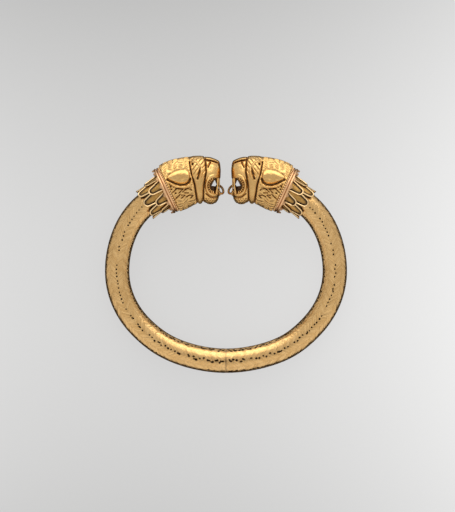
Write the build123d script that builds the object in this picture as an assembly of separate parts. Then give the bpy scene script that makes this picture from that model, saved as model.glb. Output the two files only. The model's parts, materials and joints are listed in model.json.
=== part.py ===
from build123d import *
from math import asin, cos, degrees, pi, radians, sin, tan
import os

# A gold bangle: an open oval hoop of woven tube that ends in two lion heads, face to face.
# It is modelled with the oval flat in XY, the heads at +Y and their crowns outward, and is then
# laid on its side as it rests: on the lower edges of both neck bands and the middle of the hoop.
# Lengths are millimetres and angles are degrees.

# Hoop. Its oval is measured on the centre line of the tube.
HALF_WIDTH = 34.5          # from the middle of the oval to its widest point
CLOSED_DEPTH = 28.5        # from the line of the widest points to the middle of the closed side
TUBE_D = 7.75
TUBE_WALL = 1.0
SEAM_WIDTH = 0.14          # the hairline across the middle of the closed side
SEAM_DEPTH = 0.14
CORNER_TURN = 45.0         # how far the closed side turns before its tighter corner starts
HOOP_END_TILT = 40.0       # how steeply the hoop rises where it enters a sleeve
SPIGOT = 3.0               # length of tube that stands inside a sleeve

# Petal sleeve
SLEEVE_TILT = 35.6
SLEEVE_LENGTH = 6.45       # from the tips of the long petals to the points of the neck band
CORE_WALL = 0.35           # of the plain tube under the petals
CORE_START = 0.6           # from the tips of the long petals to the end of that tube
SLEEVE_HOLLOW_D = 6.2
PETALS = 8                 # in each of the two rows
PETAL_PLATE = 0.33         # thickness of a petal's floor
PETAL_WIRE = 0.42          # breadth of the wire that edges a petal
PETAL_RIM = 0.42           # how far that wire stands over the floor
PETAL_LAP = 0.02           # by how much the short row clears the wires under it
PETAL_OVERLAP = 1.04       # breadth of a petal as a share of its place in the row
SHORT_ROW_START = 3.25     # from the long petals' tips to the short petals' tips
TIP_SKEW = 3.1             # the tips lie in a plane this much nearer to level than the axis is

# Neck band
BAND_D = 15.4
BAND_WIDTH = 2.75
BAND_TILT = 24.8
BAND_WALL = 0.6
BAND_PLATE = 0.5           # the disc that closes the band at the sleeve's side
BAND_PLATE_D = 7.0         # its hole
FIRST_WIRE_R = 0.38
FIRST_WIRE_PLACE = 1.07    # from the band's points to the middle of each wire
SECOND_WIRE_R = 0.33
SECOND_WIRE_PLACE = 1.9
THIRD_WIRE_R = 0.27
THIRD_WIRE_PLACE = 2.47
POINTS = 16                # the small points along the band's back edge
POINT_LENGTH = 0.75
POINT_WIDTH = 2.3
POINT_THICKNESS = 0.4

# Lion head
NOSE_GAP = 3.2             # between the two noses
HEAD_RISE = 29.1           # from the line of the widest points to the head's middle line
HEAD_LENGTH = 16.3         # from the nose to the middle of the neck band's front
HEAD_HEIGHT = 14.75        # at the ruff
HEAD_BREADTH = 13.8        # at the ruff
BAND_DROP = 3.1            # from the head's middle line down to the middle of the band's front
HEAD_INSET = 0.4           # how far the mane lies inside the neck band's outer edge
FURROW = 0.4               # depth of the two furrows that border the ruff
SQUARENESS = 2.3           # 2 makes the head's sections ellipses, more makes them boxier
HEAD_SIDES = 40            # facets around the head
HOLLOW_BACK_D = 12.4
HOLLOW_FRONT_D = 9.6
HOLLOW_LENGTH = 9.0
HOLLOW_TILT = 18.0

# Relief on each side of the head: length, height and how far it stands over the skin
EAR_SIZE = (7.6, 4.3, 0.55)
EYE_SIZE = (1.2, 1.9, 0.35)
MUZZLE_SIZE = (4.6, 4.2, 0.35)
RELIEF_ROOT = 1.0          # how deep the relief is rooted under the skin
MOUND_SIDES = 16
MOUND_LEVELS = 4
SLOPE_STEP = 0.3           # over which the lean of the skin is taken

# Mouth
MOUTH_LENGTH = 4.1         # of the round opening in each cheek
MOUTH_HEIGHT = 5.1
LIP_GAPE = 4.8             # between the lips at the front
CORE_BREADTH = 4.6         # of the palate and tongue between the cheek openings
CANINE_SPREAD = 6.4        # between the middles of the left and right canines
CANINE_D = 1.0
CANINE_TIP_D = 0.5
BAR_D = 0.44               # the joined front teeth that the ring goes round

# Mouth ring
RING_D = 3.7               # outside
RING_WIRE_D = 0.56
RING_DROOP = 55.0          # how steeply it hangs, seen from the side
RING_TWIST = 54.0          # how far it is turned from facing the side

FIT_GAP = 0.05             # left between pieces that seat on each other

# Sections of the head, from the mane to the lips. The first pair is how far behind the nose the
# section's top and bottom lie, as shares of HEAD_LENGTH. The second is how far over and under the
# middle line they lie, as shares of half of HEAD_HEIGHT. Then come the breadth, as a share of
# HEAD_BREADTH, and the share of the furrow's depth that is taken off.
# top_back, bottom_back, top_over, bottom_under, breadth, furrow
HEAD_SECTIONS = (
    (1.130, 0.780, 0.680, 1.375, 1.055, 0),
    (1.020, 0.700, 0.785, 1.310, 1.04, 0),
    (0.936, 0.644, 0.840, 1.258, 1.035, 0),
    (0.856, 0.595, 0.880, 1.200, 1.03, 0),
    (0.712, 0.517, 0.940, 1.108, 1.01, 0),
    (0.645, 0.480, 0.945, 1.070, 1.00, 0),
    (0.621, 0.459, 0.950, 1.050, 1.00, 1),
    (0.597, 0.440, 0.960, 1.030, 0.99, 0),
    (0.530, 0.420, 0.995, 1.030, 1.00, 0),
    (0.400, 0.375, 1.000, 1.010, 0.97, 0),
    (0.337, 0.354, 0.980, 0.975, 0.94, 0),
    (0.313, 0.338, 0.965, 0.975, 0.92, 1),
    (0.290, 0.319, 0.950, 1.000, 0.89, 0),
    (0.206, 0.245, 0.940, 1.085, 0.86, 0),
    (0.113, 0.167, 0.865, 1.090, 0.79, 0),
    (0.039, 0.099, 0.785, 1.030, 0.68, 0),
    (0.010, 0.045, 0.640, 0.880, 0.55, 0),
    (0.000, 0.028, 0.430, 0.680, 0.42, 0),
)

# Places on the head: share of HEAD_LENGTH behind the nose, and share of half of HEAD_HEIGHT over
# the middle line
LIP_CENTRE = (0.025, -0.15)
EAR_PLACE = (0.820, 0.070)
EYE_PLACE = (0.250, 0.680)
MUZZLE_PLACE = (0.150, 0.400)
MOUTH_PLACE = (0.128, -0.300)
CANINE_TOP = (0.055, 0.100)
CANINE_MEET = (0.066, -0.310)
CANINE_FOOT = (0.092, -0.700)
BAR_BACK = 0.034
RING_PLACE = (0.021, -0.450)
# The opening right through, between the palate, the tongue and the lips
THROUGH_OPENING = (
    (0.181, -0.295),
    (0.125, -0.065),
    (0.105, 0.035),
    (-0.100, 0.035),
    (-0.100, -0.665),
    (0.118, -0.665),
    (0.135, -0.310),
)


def heading(tilt):
    """The direction in the plane of the oval that rises by an angle from level"""
    return Vector(cos(radians(tilt)), sin(radians(tilt)), 0)


def outward(tilt):
    """The direction in that plane square to a heading, away from the wrist"""
    return Vector(-sin(radians(tilt)), cos(radians(tilt)), 0)


def head_place(back, over, z=0.0):
    """A place on the left head, from its shares behind the nose and over the middle line"""
    return Vector(-NOSE_GAP / 2 - back * HEAD_LENGTH, HEAD_RISE + over * HEAD_HEIGHT / 2, z)


band_front = head_place(1.0, -BAND_DROP / (HEAD_HEIGHT / 2))
band_back = band_front - heading(BAND_TILT) * BAND_WIDTH
sleeve_tip = band_back - heading(SLEEVE_TILT) * SLEEVE_LENGTH
half_tube = TUBE_D / 2
bore_r = half_tube + FIT_GAP


def upright_frame(origin, tilt):
    """A frame whose Z runs along a heading and whose X is square to the plane of the oval"""
    return Plane(origin=origin, x_dir=(0, 0, 1), z_dir=heading(tilt))


def two_radii(turn_1, turn_2, across, along):
    """Radii of two tangent arcs, ending at turn_1 and turn_2, that reach a place together"""
    c1, s1, c2, s2 = cos(turn_1), sin(turn_1), cos(turn_2), sin(turn_2)
    a11, a12 = 1 - c1, c1 - c2
    a21, a22 = s1, s2 - s1
    det = a11 * a22 - a12 * a21
    return (across * a22 - along * a12) / det, (along * a11 - across * a21) / det


def hoop_path(extra):
    """The centre line from one spigot's end to the other's, each longer than SPIGOT by extra"""
    corner = radians(CORNER_TURN)
    wide, tight = two_radii(corner, pi / 2, CLOSED_DEPTH, HALF_WIDTH)
    side_turn = 90 - HOOP_END_TILT
    reach = HALF_WIDTH + sleeve_tip.X
    side, end = two_radii(radians(side_turn / 2), radians(side_turn), reach, sleeve_tip.Y)
    arcs = (
        (wide, CORNER_TURN),
        (tight, 90 - CORNER_TURN),
        (side, side_turn / 2),
        (end, side_turn / 2),
    )
    place, tilt, left = Vector(0, -CLOSED_DEPTH, 0), 180.0, []
    for radius, turn in arcs:
        middle = place - outward(tilt) * radius
        half = middle + outward(tilt - turn / 2) * radius
        finish = middle + outward(tilt - turn) * radius
        left.append(ThreePointArc(place, half, finish))
        place, tilt = finish, tilt - turn
    left.append(Line(place, place + heading(tilt) * (SPIGOT + extra)))
    right = [edge.mirror(Plane.YZ) for edge in left]
    return Wire(left + right)


def tube_along(path, radius):
    start = Plane(origin=path @ 0, z_dir=path % 0)
    return sweep(start * Circle(radius), path=path)


def hoop():
    tube = tube_along(hoop_path(0), half_tube) - tube_along(hoop_path(1), half_tube - TUBE_WALL)
    seam_ring = Circle(TUBE_D) - Circle(half_tube - SEAM_DEPTH)
    seam_plane = Plane(origin=(0, -CLOSED_DEPTH, 0), z_dir=(1, 0, 0))
    return tube - extrude(seam_plane * seam_ring, SEAM_WIDTH / 2, both=True)


def tongue(length, breadth, inset):
    """A petal's outline along X: round at the origin, square at the far end"""
    half = breadth / 2 - inset
    straight = Rectangle(length - breadth / 2, half * 2, align=(Align.MIN, Align.CENTER))
    return Pos(breadth / 2, 0) * (straight + Circle(half))


def drum(radius, length):
    """A cylinder that stands on its frame"""
    return Cylinder(radius, length, align=(Align.CENTER, Align.CENTER, Align.MIN))


def taper(root_r, tip_r, length):
    """A cone that stands on its frame"""
    return Cone(root_r, tip_r, length, align=(Align.CENTER, Align.CENTER, Align.MIN))


def petal_row(first_angle, start, wire_r, reach):
    """A row of petals round the local Z axis, with wires out to wire_r"""
    breadth = 2 * wire_r * sin(pi / PETALS) * PETAL_OVERLAP
    clear_out = wire_r * 2
    blades, pockets = [], []
    for i in range(PETALS):
        angle = radians(first_angle + i * 360 / PETALS)
        # the local -Y faces away from the wrist
        radial = Vector(cos(angle), -sin(angle), 0)
        tip = start + wire_r * tan(radians(TIP_SKEW)) * sin(angle)
        side = Plane(origin=(0, 0, tip), x_dir=(0, 0, 1), z_dir=radial)
        blades.append(extrude(side * tongue(reach - tip, breadth, 0), clear_out))
        pockets.append(extrude(side * tongue(reach - tip, breadth, PETAL_WIRE), clear_out))
    full = Pos(0, 0, start - wire_r) * drum(wire_r, reach)
    floor = Pos(0, 0, start - wire_r) * drum(wire_r - PETAL_RIM, reach)
    petals = []
    for blade, pocket in zip(blades, pockets):
        petals.append((blade & full) - (pocket - floor))
    return petals


def petal_sleeve():
    core_r = bore_r + CORE_WALL
    long_r = core_r + PETAL_PLATE + PETAL_RIM
    short_r = long_r + PETAL_LAP + PETAL_RIM
    reach = SLEEVE_LENGTH + BAND_D / 2
    core = Pos(0, 0, CORE_START) * drum(core_r + PETAL_LAP, reach - CORE_START)
    petals = petal_row(0, 0, long_r, reach)
    petals += petal_row(180 / PETALS, SHORT_ROW_START, short_r, reach)
    whole = core.fuse(*petals)
    frame = upright_frame(sleeve_tip, SLEEVE_TILT)
    placed = frame.location * whole
    plate_face = Plane(
        origin=band_back + heading(BAND_TILT) * (POINT_LENGTH - FIT_GAP), z_dir=heading(BAND_TILT)
    )
    trimmed = split(placed, bisect_by=plate_face, keep=Keep.BOTTOM)
    entry = upright_frame(sleeve_tip - heading(HOOP_END_TILT) * TUBE_D, HOOP_END_TILT)
    bore = drum(bore_r, TUBE_D + SPIGOT + FIT_GAP)
    hollow = Cylinder(SLEEVE_HOLLOW_D / 2, reach * 2)
    return trimmed - entry.location * bore - frame.location * hollow


def neck_band():
    """Round the local Z axis, from the points at the sleeve's side to the head's side"""
    wire_line = BAND_D / 2 - FIRST_WIRE_R
    wall = Plane.XZ * Pos(wire_line - BAND_WALL / 2, (POINT_LENGTH + BAND_WIDTH) / 2)
    profile = wall * Rectangle(BAND_WALL, BAND_WIDTH - POINT_LENGTH)
    plate_breadth = wire_line - BAND_PLATE_D / 2 - BAND_WALL / 2
    plate = Plane.XZ * Pos(BAND_PLATE_D / 2 + plate_breadth / 2, POINT_LENGTH + BAND_PLATE / 2)
    profile += plate * Rectangle(plate_breadth, BAND_PLATE)
    for radius, place in (
        (FIRST_WIRE_R, FIRST_WIRE_PLACE),
        (SECOND_WIRE_R, SECOND_WIRE_PLACE),
        (THIRD_WIRE_R, THIRD_WIRE_PLACE),
    ):
        profile += Plane.XZ * Pos(wire_line, place) * Circle(radius)
    band = revolve(profile, Axis.Z)
    rooted = make_face(
        Polyline(
            (0, 0),
            (POINT_LENGTH, POINT_WIDTH / 2),
            (FIRST_WIRE_PLACE, POINT_WIDTH / 2),
            (FIRST_WIRE_PLACE, -POINT_WIDTH / 2),
            (POINT_LENGTH, -POINT_WIDTH / 2),
            close=True,
        )
    )
    points = []
    for i in range(POINTS):
        angle = radians((i + 0.5) * 360 / POINTS)
        radial = Vector(cos(angle), sin(angle), 0)
        side = Plane(
            origin=radial * (wire_line - POINT_THICKNESS / 2), x_dir=(0, 0, 1), z_dir=radial
        )
        points.append(extrude(side * rooted, POINT_THICKNESS))
    return upright_frame(band_back, BAND_TILT).location * band.fuse(*points)


def skin_sections():
    """Top, bottom, half breadth and squareness of each section, from the neck band to the lips"""
    seat = band_front + heading(BAND_TILT) * FIT_GAP
    mane_r = BAND_D / 2 - HEAD_INSET
    up = outward(BAND_TILT)
    sections = [(seat + up * mane_r, seat - up * mane_r, mane_r, 2)]
    for top_back, bottom_back, over, under, breadth, furrow in HEAD_SECTIONS:
        top, bottom = head_place(top_back, over), head_place(bottom_back, -under)
        inset = (top - bottom).normalized() * FURROW * furrow
        half_breadth = breadth * HEAD_BREADTH / 2 - FURROW * furrow
        sections.append((top - inset, bottom + inset, half_breadth, SQUARENESS))
    return sections


def signed_power(value, power):
    return abs(value) ** power * (1 if value >= 0 else -1)


def skin_rings():
    rings = []
    for top, bottom, half_breadth, power in skin_sections():
        middle, half = (top + bottom) / 2, (top - bottom) / 2
        ring = []
        for i in range(HEAD_SIDES):
            angle = 2 * pi * i / HEAD_SIDES
            rise = signed_power(sin(angle), 2 / power)
            spread = signed_power(cos(angle), 2 / power)
            ring.append(middle + half * rise + Vector(0, 0, half_breadth * spread))
        rings.append(ring)
    return rings


def skin_depth(place):
    """How far the skin stands off the head's middle plane at a place seen from the side"""
    sections = skin_sections()
    for near, far in zip(sections, sections[1:]):
        ahead = [
            (place - bottom).cross(top - bottom).Z / (top - bottom).length
            for top, bottom, _, _ in (near, far)
        ]
        if ahead[0] >= 0 >= ahead[1]:
            share = ahead[0] / (ahead[0] - ahead[1])
            top, bottom = (near[k] + (far[k] - near[k]) * share for k in (0, 1))
            half_breadth, power = (near[k] + (far[k] - near[k]) * share for k in (2, 3))
            middle, half = (top + bottom) / 2, (top - bottom) / 2
            rise = (place - middle).dot(half) / half.length**2
            return half_breadth * max(0, 1 - abs(rise) ** power) ** (1 / power)
    raise ValueError("the place is off the head")


def skin_frame(place):
    """A frame on the near side of the skin, with X towards the nose and Z out of the skin"""
    ahead, over = Vector(SLOPE_STEP, 0, 0), Vector(0, SLOPE_STEP, 0)
    depth = skin_depth(place)
    lean_x = (skin_depth(place + ahead) - skin_depth(place - ahead)) / 2 / SLOPE_STEP
    lean_y = (skin_depth(place + over) - skin_depth(place - over)) / 2 / SLOPE_STEP
    return Plane(
        origin=place + Vector(0, 0, depth), x_dir=(1, 0, lean_x), z_dir=(-lean_x, -lean_y, 1)
    )


def triangle(a, b, c):
    return Face(Wire.make_polygon([a, b, c]))


def closed_skin(rings, tip):
    """A solid whose skin runs over the rings and closes flat at the first and at a tip"""
    faces = [Face(Wire.make_polygon(rings[0]))]
    sides = len(rings[0])
    for near, far in zip(rings, rings[1:]):
        for i in range(sides):
            j = (i + 1) % sides
            faces.append(triangle(near[i], near[j], far[j]))
            faces.append(triangle(near[i], far[j], far[i]))
    for i in range(sides):
        faces.append(triangle(rings[-1][i], rings[-1][(i + 1) % sides], tip))
    return Solid(Shell(faces))


def mound(length, height, swell):
    """A faceted low mound on XY, rooted under it"""
    heights = [(1, -RELIEF_ROOT)]
    for level in range(MOUND_LEVELS):
        climb = level * pi / 2 / MOUND_LEVELS
        heights.append((cos(climb), swell * sin(climb)))
    rings = []
    for share, lift in heights:
        turns = [2 * pi * i / MOUND_SIDES for i in range(MOUND_SIDES)]
        rings.append(
            [Vector(length / 2 * share * cos(t), height / 2 * share * sin(t), lift) for t in turns]
        )
    return closed_skin(rings, Vector(0, 0, swell))


def spike(root, tip, root_d, tip_d):
    """A round tooth that runs on past its tip by as much as the tip is wide"""
    run = tip - root
    length = run.length + tip_d / 2
    return Plane(origin=root, z_dir=run).location * taper(root_d / 2, tip_d / 2, length)


def mouth_cut():
    """The round opening in each cheek, and the narrower one that joins them"""
    middle = head_place(*MOUTH_PLACE)
    ahead = head_place(-1, MOUTH_PLACE[1])
    cheek = Pos(middle) * Ellipse(MOUTH_LENGTH / 2, MOUTH_HEIGHT / 2)
    cheek += Pos((middle + ahead) / 2) * Rectangle((ahead - middle).length, LIP_GAPE)
    near = extrude(Pos(0, 0, CORE_BREADTH / 2) * cheek, HEAD_BREADTH)
    through = make_face(Polyline(*[head_place(*corner) for corner in THROUGH_OPENING], close=True))
    return near + mirror(near, Plane.XY) + extrude(through, HEAD_BREADTH, both=True)


def teeth():
    found = []
    for side in (-1, 1):
        spread = Vector(0, 0, side * CANINE_SPREAD / 2)
        meet = head_place(*CANINE_MEET) + spread
        for root in (CANINE_TOP, CANINE_FOOT):
            found.append(spike(head_place(*root) + spread, meet, CANINE_D, CANINE_TIP_D))
    top, foot = (head_place(BAR_BACK, root[1]) for root in (CANINE_TOP, CANINE_FOOT))
    found.append(Plane(origin=foot, z_dir=top - foot).location * drum(BAR_D / 2, (top - foot).length))
    return found


def lion_head():
    head = closed_skin(skin_rings(), head_place(*LIP_CENTRE))
    relief = []
    for place, size in (
        (EAR_PLACE, EAR_SIZE),
        (EYE_PLACE, EYE_SIZE),
        (MUZZLE_PLACE, MUZZLE_SIZE),
    ):
        raised = skin_frame(head_place(*place)).location * mound(*size)
        relief += [raised, raised.mirror(Plane.XY)]
    head = Part() + head + relief
    hollow = taper(HOLLOW_BACK_D / 2, HOLLOW_FRONT_D / 2, HOLLOW_LENGTH)
    head -= upright_frame(band_front, HOLLOW_TILT).location * hollow
    head -= mouth_cut()
    return head + teeth()


def mouth_ring():
    turn = radians(RING_TWIST)
    normal = outward(-RING_DROOP) * sin(turn) + Vector(0, 0, cos(turn))
    frame = Plane(origin=head_place(*RING_PLACE), z_dir=normal)
    return frame.location * Torus((RING_D - RING_WIRE_D) / 2, RING_WIRE_D / 2)


def at_rest(flat_pieces):
    """Lay the flat bangle on its neck bands and hoop, its box centred on the origin's Z axis"""
    first_wire = band_back + heading(BAND_TILT) * FIRST_WIRE_PLACE
    tilt = degrees(asin((BAND_D / 2 - half_tube) / (first_wire.Y + CLOSED_DEPTH)))
    leaning = {name: Rot(tilt, 0, 0) * piece for name, piece in flat_pieces.items()}
    box = Compound(list(leaning.values())).bounding_box()
    middle = box.center()
    seat = Pos(-middle.X, -middle.Y, -box.min.Z)
    return {name: seat * piece for name, piece in leaning.items()}


flat = {"hoop": hoop()}
for name, make in (
    ("petal_sleeve", petal_sleeve),
    ("neck_band", neck_band),
    ("lion_head", lion_head),
    ("mouth_ring", mouth_ring),
):
    piece = make()
    flat[f"left_{name}"] = piece
    flat[f"right_{name}"] = mirror(piece, Plane.YZ)

os.makedirs("parts", exist_ok=True)
for name, piece in at_rest(flat).items():
    export_step(piece, f"parts/{name}.step")
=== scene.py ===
import json
import math
from math import cos, pi, radians, sin, tan
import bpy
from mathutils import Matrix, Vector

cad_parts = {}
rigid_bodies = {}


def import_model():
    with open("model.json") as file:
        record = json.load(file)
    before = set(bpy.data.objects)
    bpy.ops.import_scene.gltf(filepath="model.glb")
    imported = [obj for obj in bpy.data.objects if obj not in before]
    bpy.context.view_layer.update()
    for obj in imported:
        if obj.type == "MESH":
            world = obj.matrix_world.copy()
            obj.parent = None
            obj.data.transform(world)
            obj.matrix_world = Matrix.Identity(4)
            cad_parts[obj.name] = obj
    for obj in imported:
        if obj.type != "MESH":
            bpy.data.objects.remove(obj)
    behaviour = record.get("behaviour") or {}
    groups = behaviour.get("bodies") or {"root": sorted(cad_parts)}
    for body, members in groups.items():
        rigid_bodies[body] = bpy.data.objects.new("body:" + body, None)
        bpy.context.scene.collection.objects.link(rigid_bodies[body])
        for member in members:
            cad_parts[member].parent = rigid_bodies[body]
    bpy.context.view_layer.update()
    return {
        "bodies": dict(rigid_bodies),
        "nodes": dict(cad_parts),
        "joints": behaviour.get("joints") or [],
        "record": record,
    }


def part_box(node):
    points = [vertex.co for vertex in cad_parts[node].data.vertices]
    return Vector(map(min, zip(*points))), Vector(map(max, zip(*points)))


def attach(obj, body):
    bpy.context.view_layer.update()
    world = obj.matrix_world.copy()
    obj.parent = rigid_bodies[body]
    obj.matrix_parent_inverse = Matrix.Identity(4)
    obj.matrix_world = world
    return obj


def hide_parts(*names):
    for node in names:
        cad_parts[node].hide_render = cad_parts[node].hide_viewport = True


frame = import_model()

from types import SimpleNamespace

import bpy
import numpy as np
import openvdb
from mathutils import Vector

# The looks of a gold bangle: a woven hoop, petal sleeves, neck bands, lion heads and mouth rings.
# Shapes are worked out in millimetres in the flat frame, with the oval in XY, the heads at +Y and
# the near side at +Z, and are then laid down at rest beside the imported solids.
MM = 0.001

# Hoop
HALF_WIDTH = 34.5
CLOSED_DEPTH = 28.5
TUBE_D = 7.75
CORNER_TURN = 45.0
HOOP_END_TILT = 40.0
SPIGOT = 3.0
PATH_STEP = 0.5
CORNER_SWELL = {1: 0.35, -1: 0.55}  # how much fuller the left and right corners of the hoop are
CORNER_PLACE = 21.0        # of the fullest spot, along the hoop from the seam
CORNER_SPAN = 9.0
CORE_R = 3.79
CORE_SIDES = 24
SEAM_GAP = 0.07
SEAM_SHADE = 0.12          # how far the seam darkens the strands

# Its weave
V_ROWS = 6                 # lengthwise rows of V strokes round the tube
WEAVE_START = 1.2          # from the end of the hoop inside the sleeve
STRAND_PITCH = 0.6
STRAND_LEAN = 45.0
STRAND_HALF_WIDTH = 0.30
STRAND_HALF_HEIGHT = 0.035
STRAND_POINTS = 7
STRAND_SIDES = 6
STRAND_EDGE = 0.866        # where the outline's four side corners lie, as a share of the half width
STRAND_OVERLAP = 0.08      # of the strands of neighbouring rows
MID_DIP = 0.015
ROW_TURN = 2.0             # how far the rows turn outward from the sleeve to the closed side
PIT_DIP = 0.03
PIT_GAP = 0.18
PIT_SHARE = 0.78           # of the places for a pit that have one, at the sleeve
PIT_SHARE_RISE = 0.2       # to the closed side
ODD_PIT_SHARE = 0.6        # in the odd rows, at the closed side
PIT_R = 0.33
PIT_SHAKE = 0.2
PIT_CLEARANCE = 0.35       # from the seam

# Petal sleeve
SLEEVE_TILT = 35.6
SLEEVE_LENGTH = 6.45
SLEEVE_DROP = 0.15         # how far its axis lies under the middle of the neck band's back
CORE_WALL = 0.35
CORE_START = 1.5
PETALS = 8
PETAL_PLATE = 0.33
PETAL_WIRE = 0.47
PETAL_RIM = 0.42
PETAL_LAP = 0.02
PETAL_STANDOFF = 0.16      # of the long petals from the tube under them
PETAL_TIP_R = 1.2
PETAL_FLARE = 10.0
PETAL_CROWN = 0.22
PETAL_ROWS, PETAL_COLUMNS = 14, 17
EDGE_SHADE = (0.98, 0.42)  # how far inside its edge a petal's floor gets painted shade beside the wire, and how softly it fades
LONG_ROW_START = -0.4
SHORT_ROW_START = 2.9
TIP_SKEW = 3.1

# Neck band
BAND_D = 15.4
BAND_WIDTH = 2.75
BAND_TILT = 24.8
BAND_WALL = 0.6
BAND_PLATE = 0.5
BAND_PLATE_D = 7.0
FIRST_WIRE = (0.38, 1.07)  # radius, and place along the band
SECOND_WIRE = (0.33, 1.9)
BEAD_WIRE = (0.30, 2.45)
BEAD_CORE = 0.6            # the beads' wire, as a share of their radius
BEADS = 60
POINTS = 16
POINT_LENGTH = 0.75
POINT_WIDTH = 1.7
POINT_THICKNESS = 0.4

# Head
NOSE_GAP = 3.2
HEAD_RISE = 29.1
HEAD_LENGTH = 16.3
HEAD_HEIGHT = 14.75
HEAD_BREADTH = 13.8
BAND_DROP = 3.1

# Mouth ring
RING_D = 3.7
RING_WIRE_D = 0.74
RING_DROOP = 55.0
RING_TWIST = 54.0
RING_PLACE = (0.021, -0.450)
RING_SIDES = 64

FIT_GAP = 0.05
BEVEL = 0.04               # of the turned bars
WIRE_SIDES = 12            # of the section of the turned wires
SLEEVE_SIDES, BAND_SIDES, BAND_WIRE_SIDES = 48, 96, 128
PETAL_WIRE_SIDES, PETAL_WIRE_POINTS = 8, 25

NEAR = np.array((0.0, 0.0, 1.0))


def heading(tilt):
    """The direction in the plane of the oval that rises by an angle from level"""
    return np.array((cos(radians(tilt)), sin(radians(tilt)), 0.0))


def outward(tilt):
    """The direction in that plane square to a heading, away from the wrist"""
    return np.array((-sin(radians(tilt)), cos(radians(tilt)), 0.0))


def head_place(back, over):
    """A place on the left head, from its shares behind the nose and over the middle line"""
    return np.array((-NOSE_GAP / 2 - back * HEAD_LENGTH, HEAD_RISE + over * HEAD_HEIGHT / 2, 0.0))


half_tube = TUBE_D / 2
band_front = head_place(1.0, -BAND_DROP / (HEAD_HEIGHT / 2))
band_back = band_front - heading(BAND_TILT) * BAND_WIDTH
sleeve_tip = band_back - heading(SLEEVE_TILT) * SLEEVE_LENGTH - outward(SLEEVE_TILT) * SLEEVE_DROP

# The bangle rests on the closed side of its tube and on its neck bands, and leans
first_wire = band_back + heading(BAND_TILT) * FIRST_WIRE[1]
LEAN = math.asin((BAND_D / 2 - half_tube) / (first_wire[1] + CLOSED_DEPTH))
LAID = np.array(((1, 0, 0), (0, cos(LEAN), -sin(LEAN)), (0, sin(LEAN), cos(LEAN))))
hoop_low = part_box("hoop")[0]
SHIFT = np.array((
    0,
    hoop_low.y / MM + half_tube + CLOSED_DEPTH * cos(LEAN),
    hoop_low.z / MM + half_tube + CLOSED_DEPTH * sin(LEAN),
))


def at_rest(points):
    """Points of the flat frame in millimetres, in the row frame in metres"""
    return (np.asarray(points, float) @ LAID.T + SHIFT) * MM


def ridge(distance, half_width, height):
    """A smooth rise over a line, or a groove where the height is negative"""
    return height * np.exp(-((distance / half_width) ** 2))


# Graphs: one class for the sockets of shader and geometry trees
class Flow:
    """An output socket that Python's operators join to numbers and other outputs"""

    def __init__(self, graph, socket):
        self.graph, self.socket = graph, socket

    def clamped(self):
        return self.graph.shader("Clamp", self)

    def scaled(self, factor):
        """A vector times a number"""
        return self.graph.shader("VectorMath", self, Scale=factor, operation="SCALE")

    def plus(self, other):
        """A vector plus a vector"""
        return self.graph.shader("VectorMath", self, other, operation="ADD")

    def cross(self, other):
        return self.graph.shader("VectorMath", self, other, operation="CROSS_PRODUCT")


def operator(operation, swapped=False):
    """A method of Flow that joins it to other values by one kind of sum"""
    def method(self, *others):
        values = (*others, self) if swapped else (self, *others)
        return self.graph.shader("Math", *values, operation=operation)
    return method


for method_name, operation in (
    ("__add__", "ADD"), ("__radd__", "ADD"), ("__sub__", "SUBTRACT"),
    ("__mul__", "MULTIPLY"), ("__rmul__", "MULTIPLY"), ("__truediv__", "DIVIDE"),
    ("__pow__", "POWER"), ("__mod__", "FLOORED_MODULO"),
    ("__lt__", "LESS_THAN"), ("__gt__", "GREATER_THAN"),
    ("floor", "FLOOR"), ("sin", "SINE"), ("cos", "COSINE"),
    ("size", "ABSOLUTE"), ("least", "MINIMUM"),
):
    setattr(Flow, method_name, operator(operation))
Flow.__rsub__ = operator("SUBTRACT", swapped=True)


class Graph:
    """A node tree that is filled by calls"""

    def __init__(self, tree):
        self.tree = tree

    def node(self, kind, *values, out=0, **named):
        """Adds a node and returns one of its outputs. Values and names with a capital go to its
        sockets, the other names to its settings."""
        made = self.tree.nodes.new(kind)
        given = dict(enumerate(values))
        for name, value in named.items():
            if name[0].isupper():
                given[name] = value
            else:
                setattr(made, name, value)
        for key, value in given.items():
            socket = self.socket(made.inputs, key)
            if isinstance(value, Flow):
                self.tree.links.new(value.socket, socket)
            else:
                socket.default_value = value
        return Flow(self, self.socket(made.outputs, out)) if made.outputs else None

    def socket(self, sockets, key):
        if isinstance(key, int):
            return sockets[key]
        keys = {key, key.replace("_", " ")}
        return next(s for s in sockets if s.enabled and keys & {s.name, s.identifier})

    def shader(self, kind, *values, **named):
        return self.node(f"ShaderNode{kind}", *values, **named)

    def parts(self, vector):
        """The three numbers of a vector"""
        split = self.shader("SeparateXYZ", vector).socket.node
        return [Flow(self, socket) for socket in split.outputs]

    def mix(self, share, first, second):
        """One colour mixed into another"""
        return self.shader(
            "Mix", Factor_Float=share, A_Color=first, B_Color=second,
            out="Result_Color", data_type="RGBA",
        )


def emptied(owner):
    """The cleared node tree of a new material or world"""
    owner.use_nodes = True
    owner.node_tree.nodes.clear()
    return Graph(owner.node_tree)


def linked(name, data):
    made = bpy.data.objects.new(name, data)
    bpy.context.scene.collection.objects.link(made)
    return made


def baked(host):
    """The plain mesh that a host object's modifiers make"""
    ready = host.evaluated_get(bpy.context.evaluated_depsgraph_get())
    mesh = bpy.data.meshes.new_from_object(ready)
    bpy.data.objects.remove(host)
    return mesh


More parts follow.
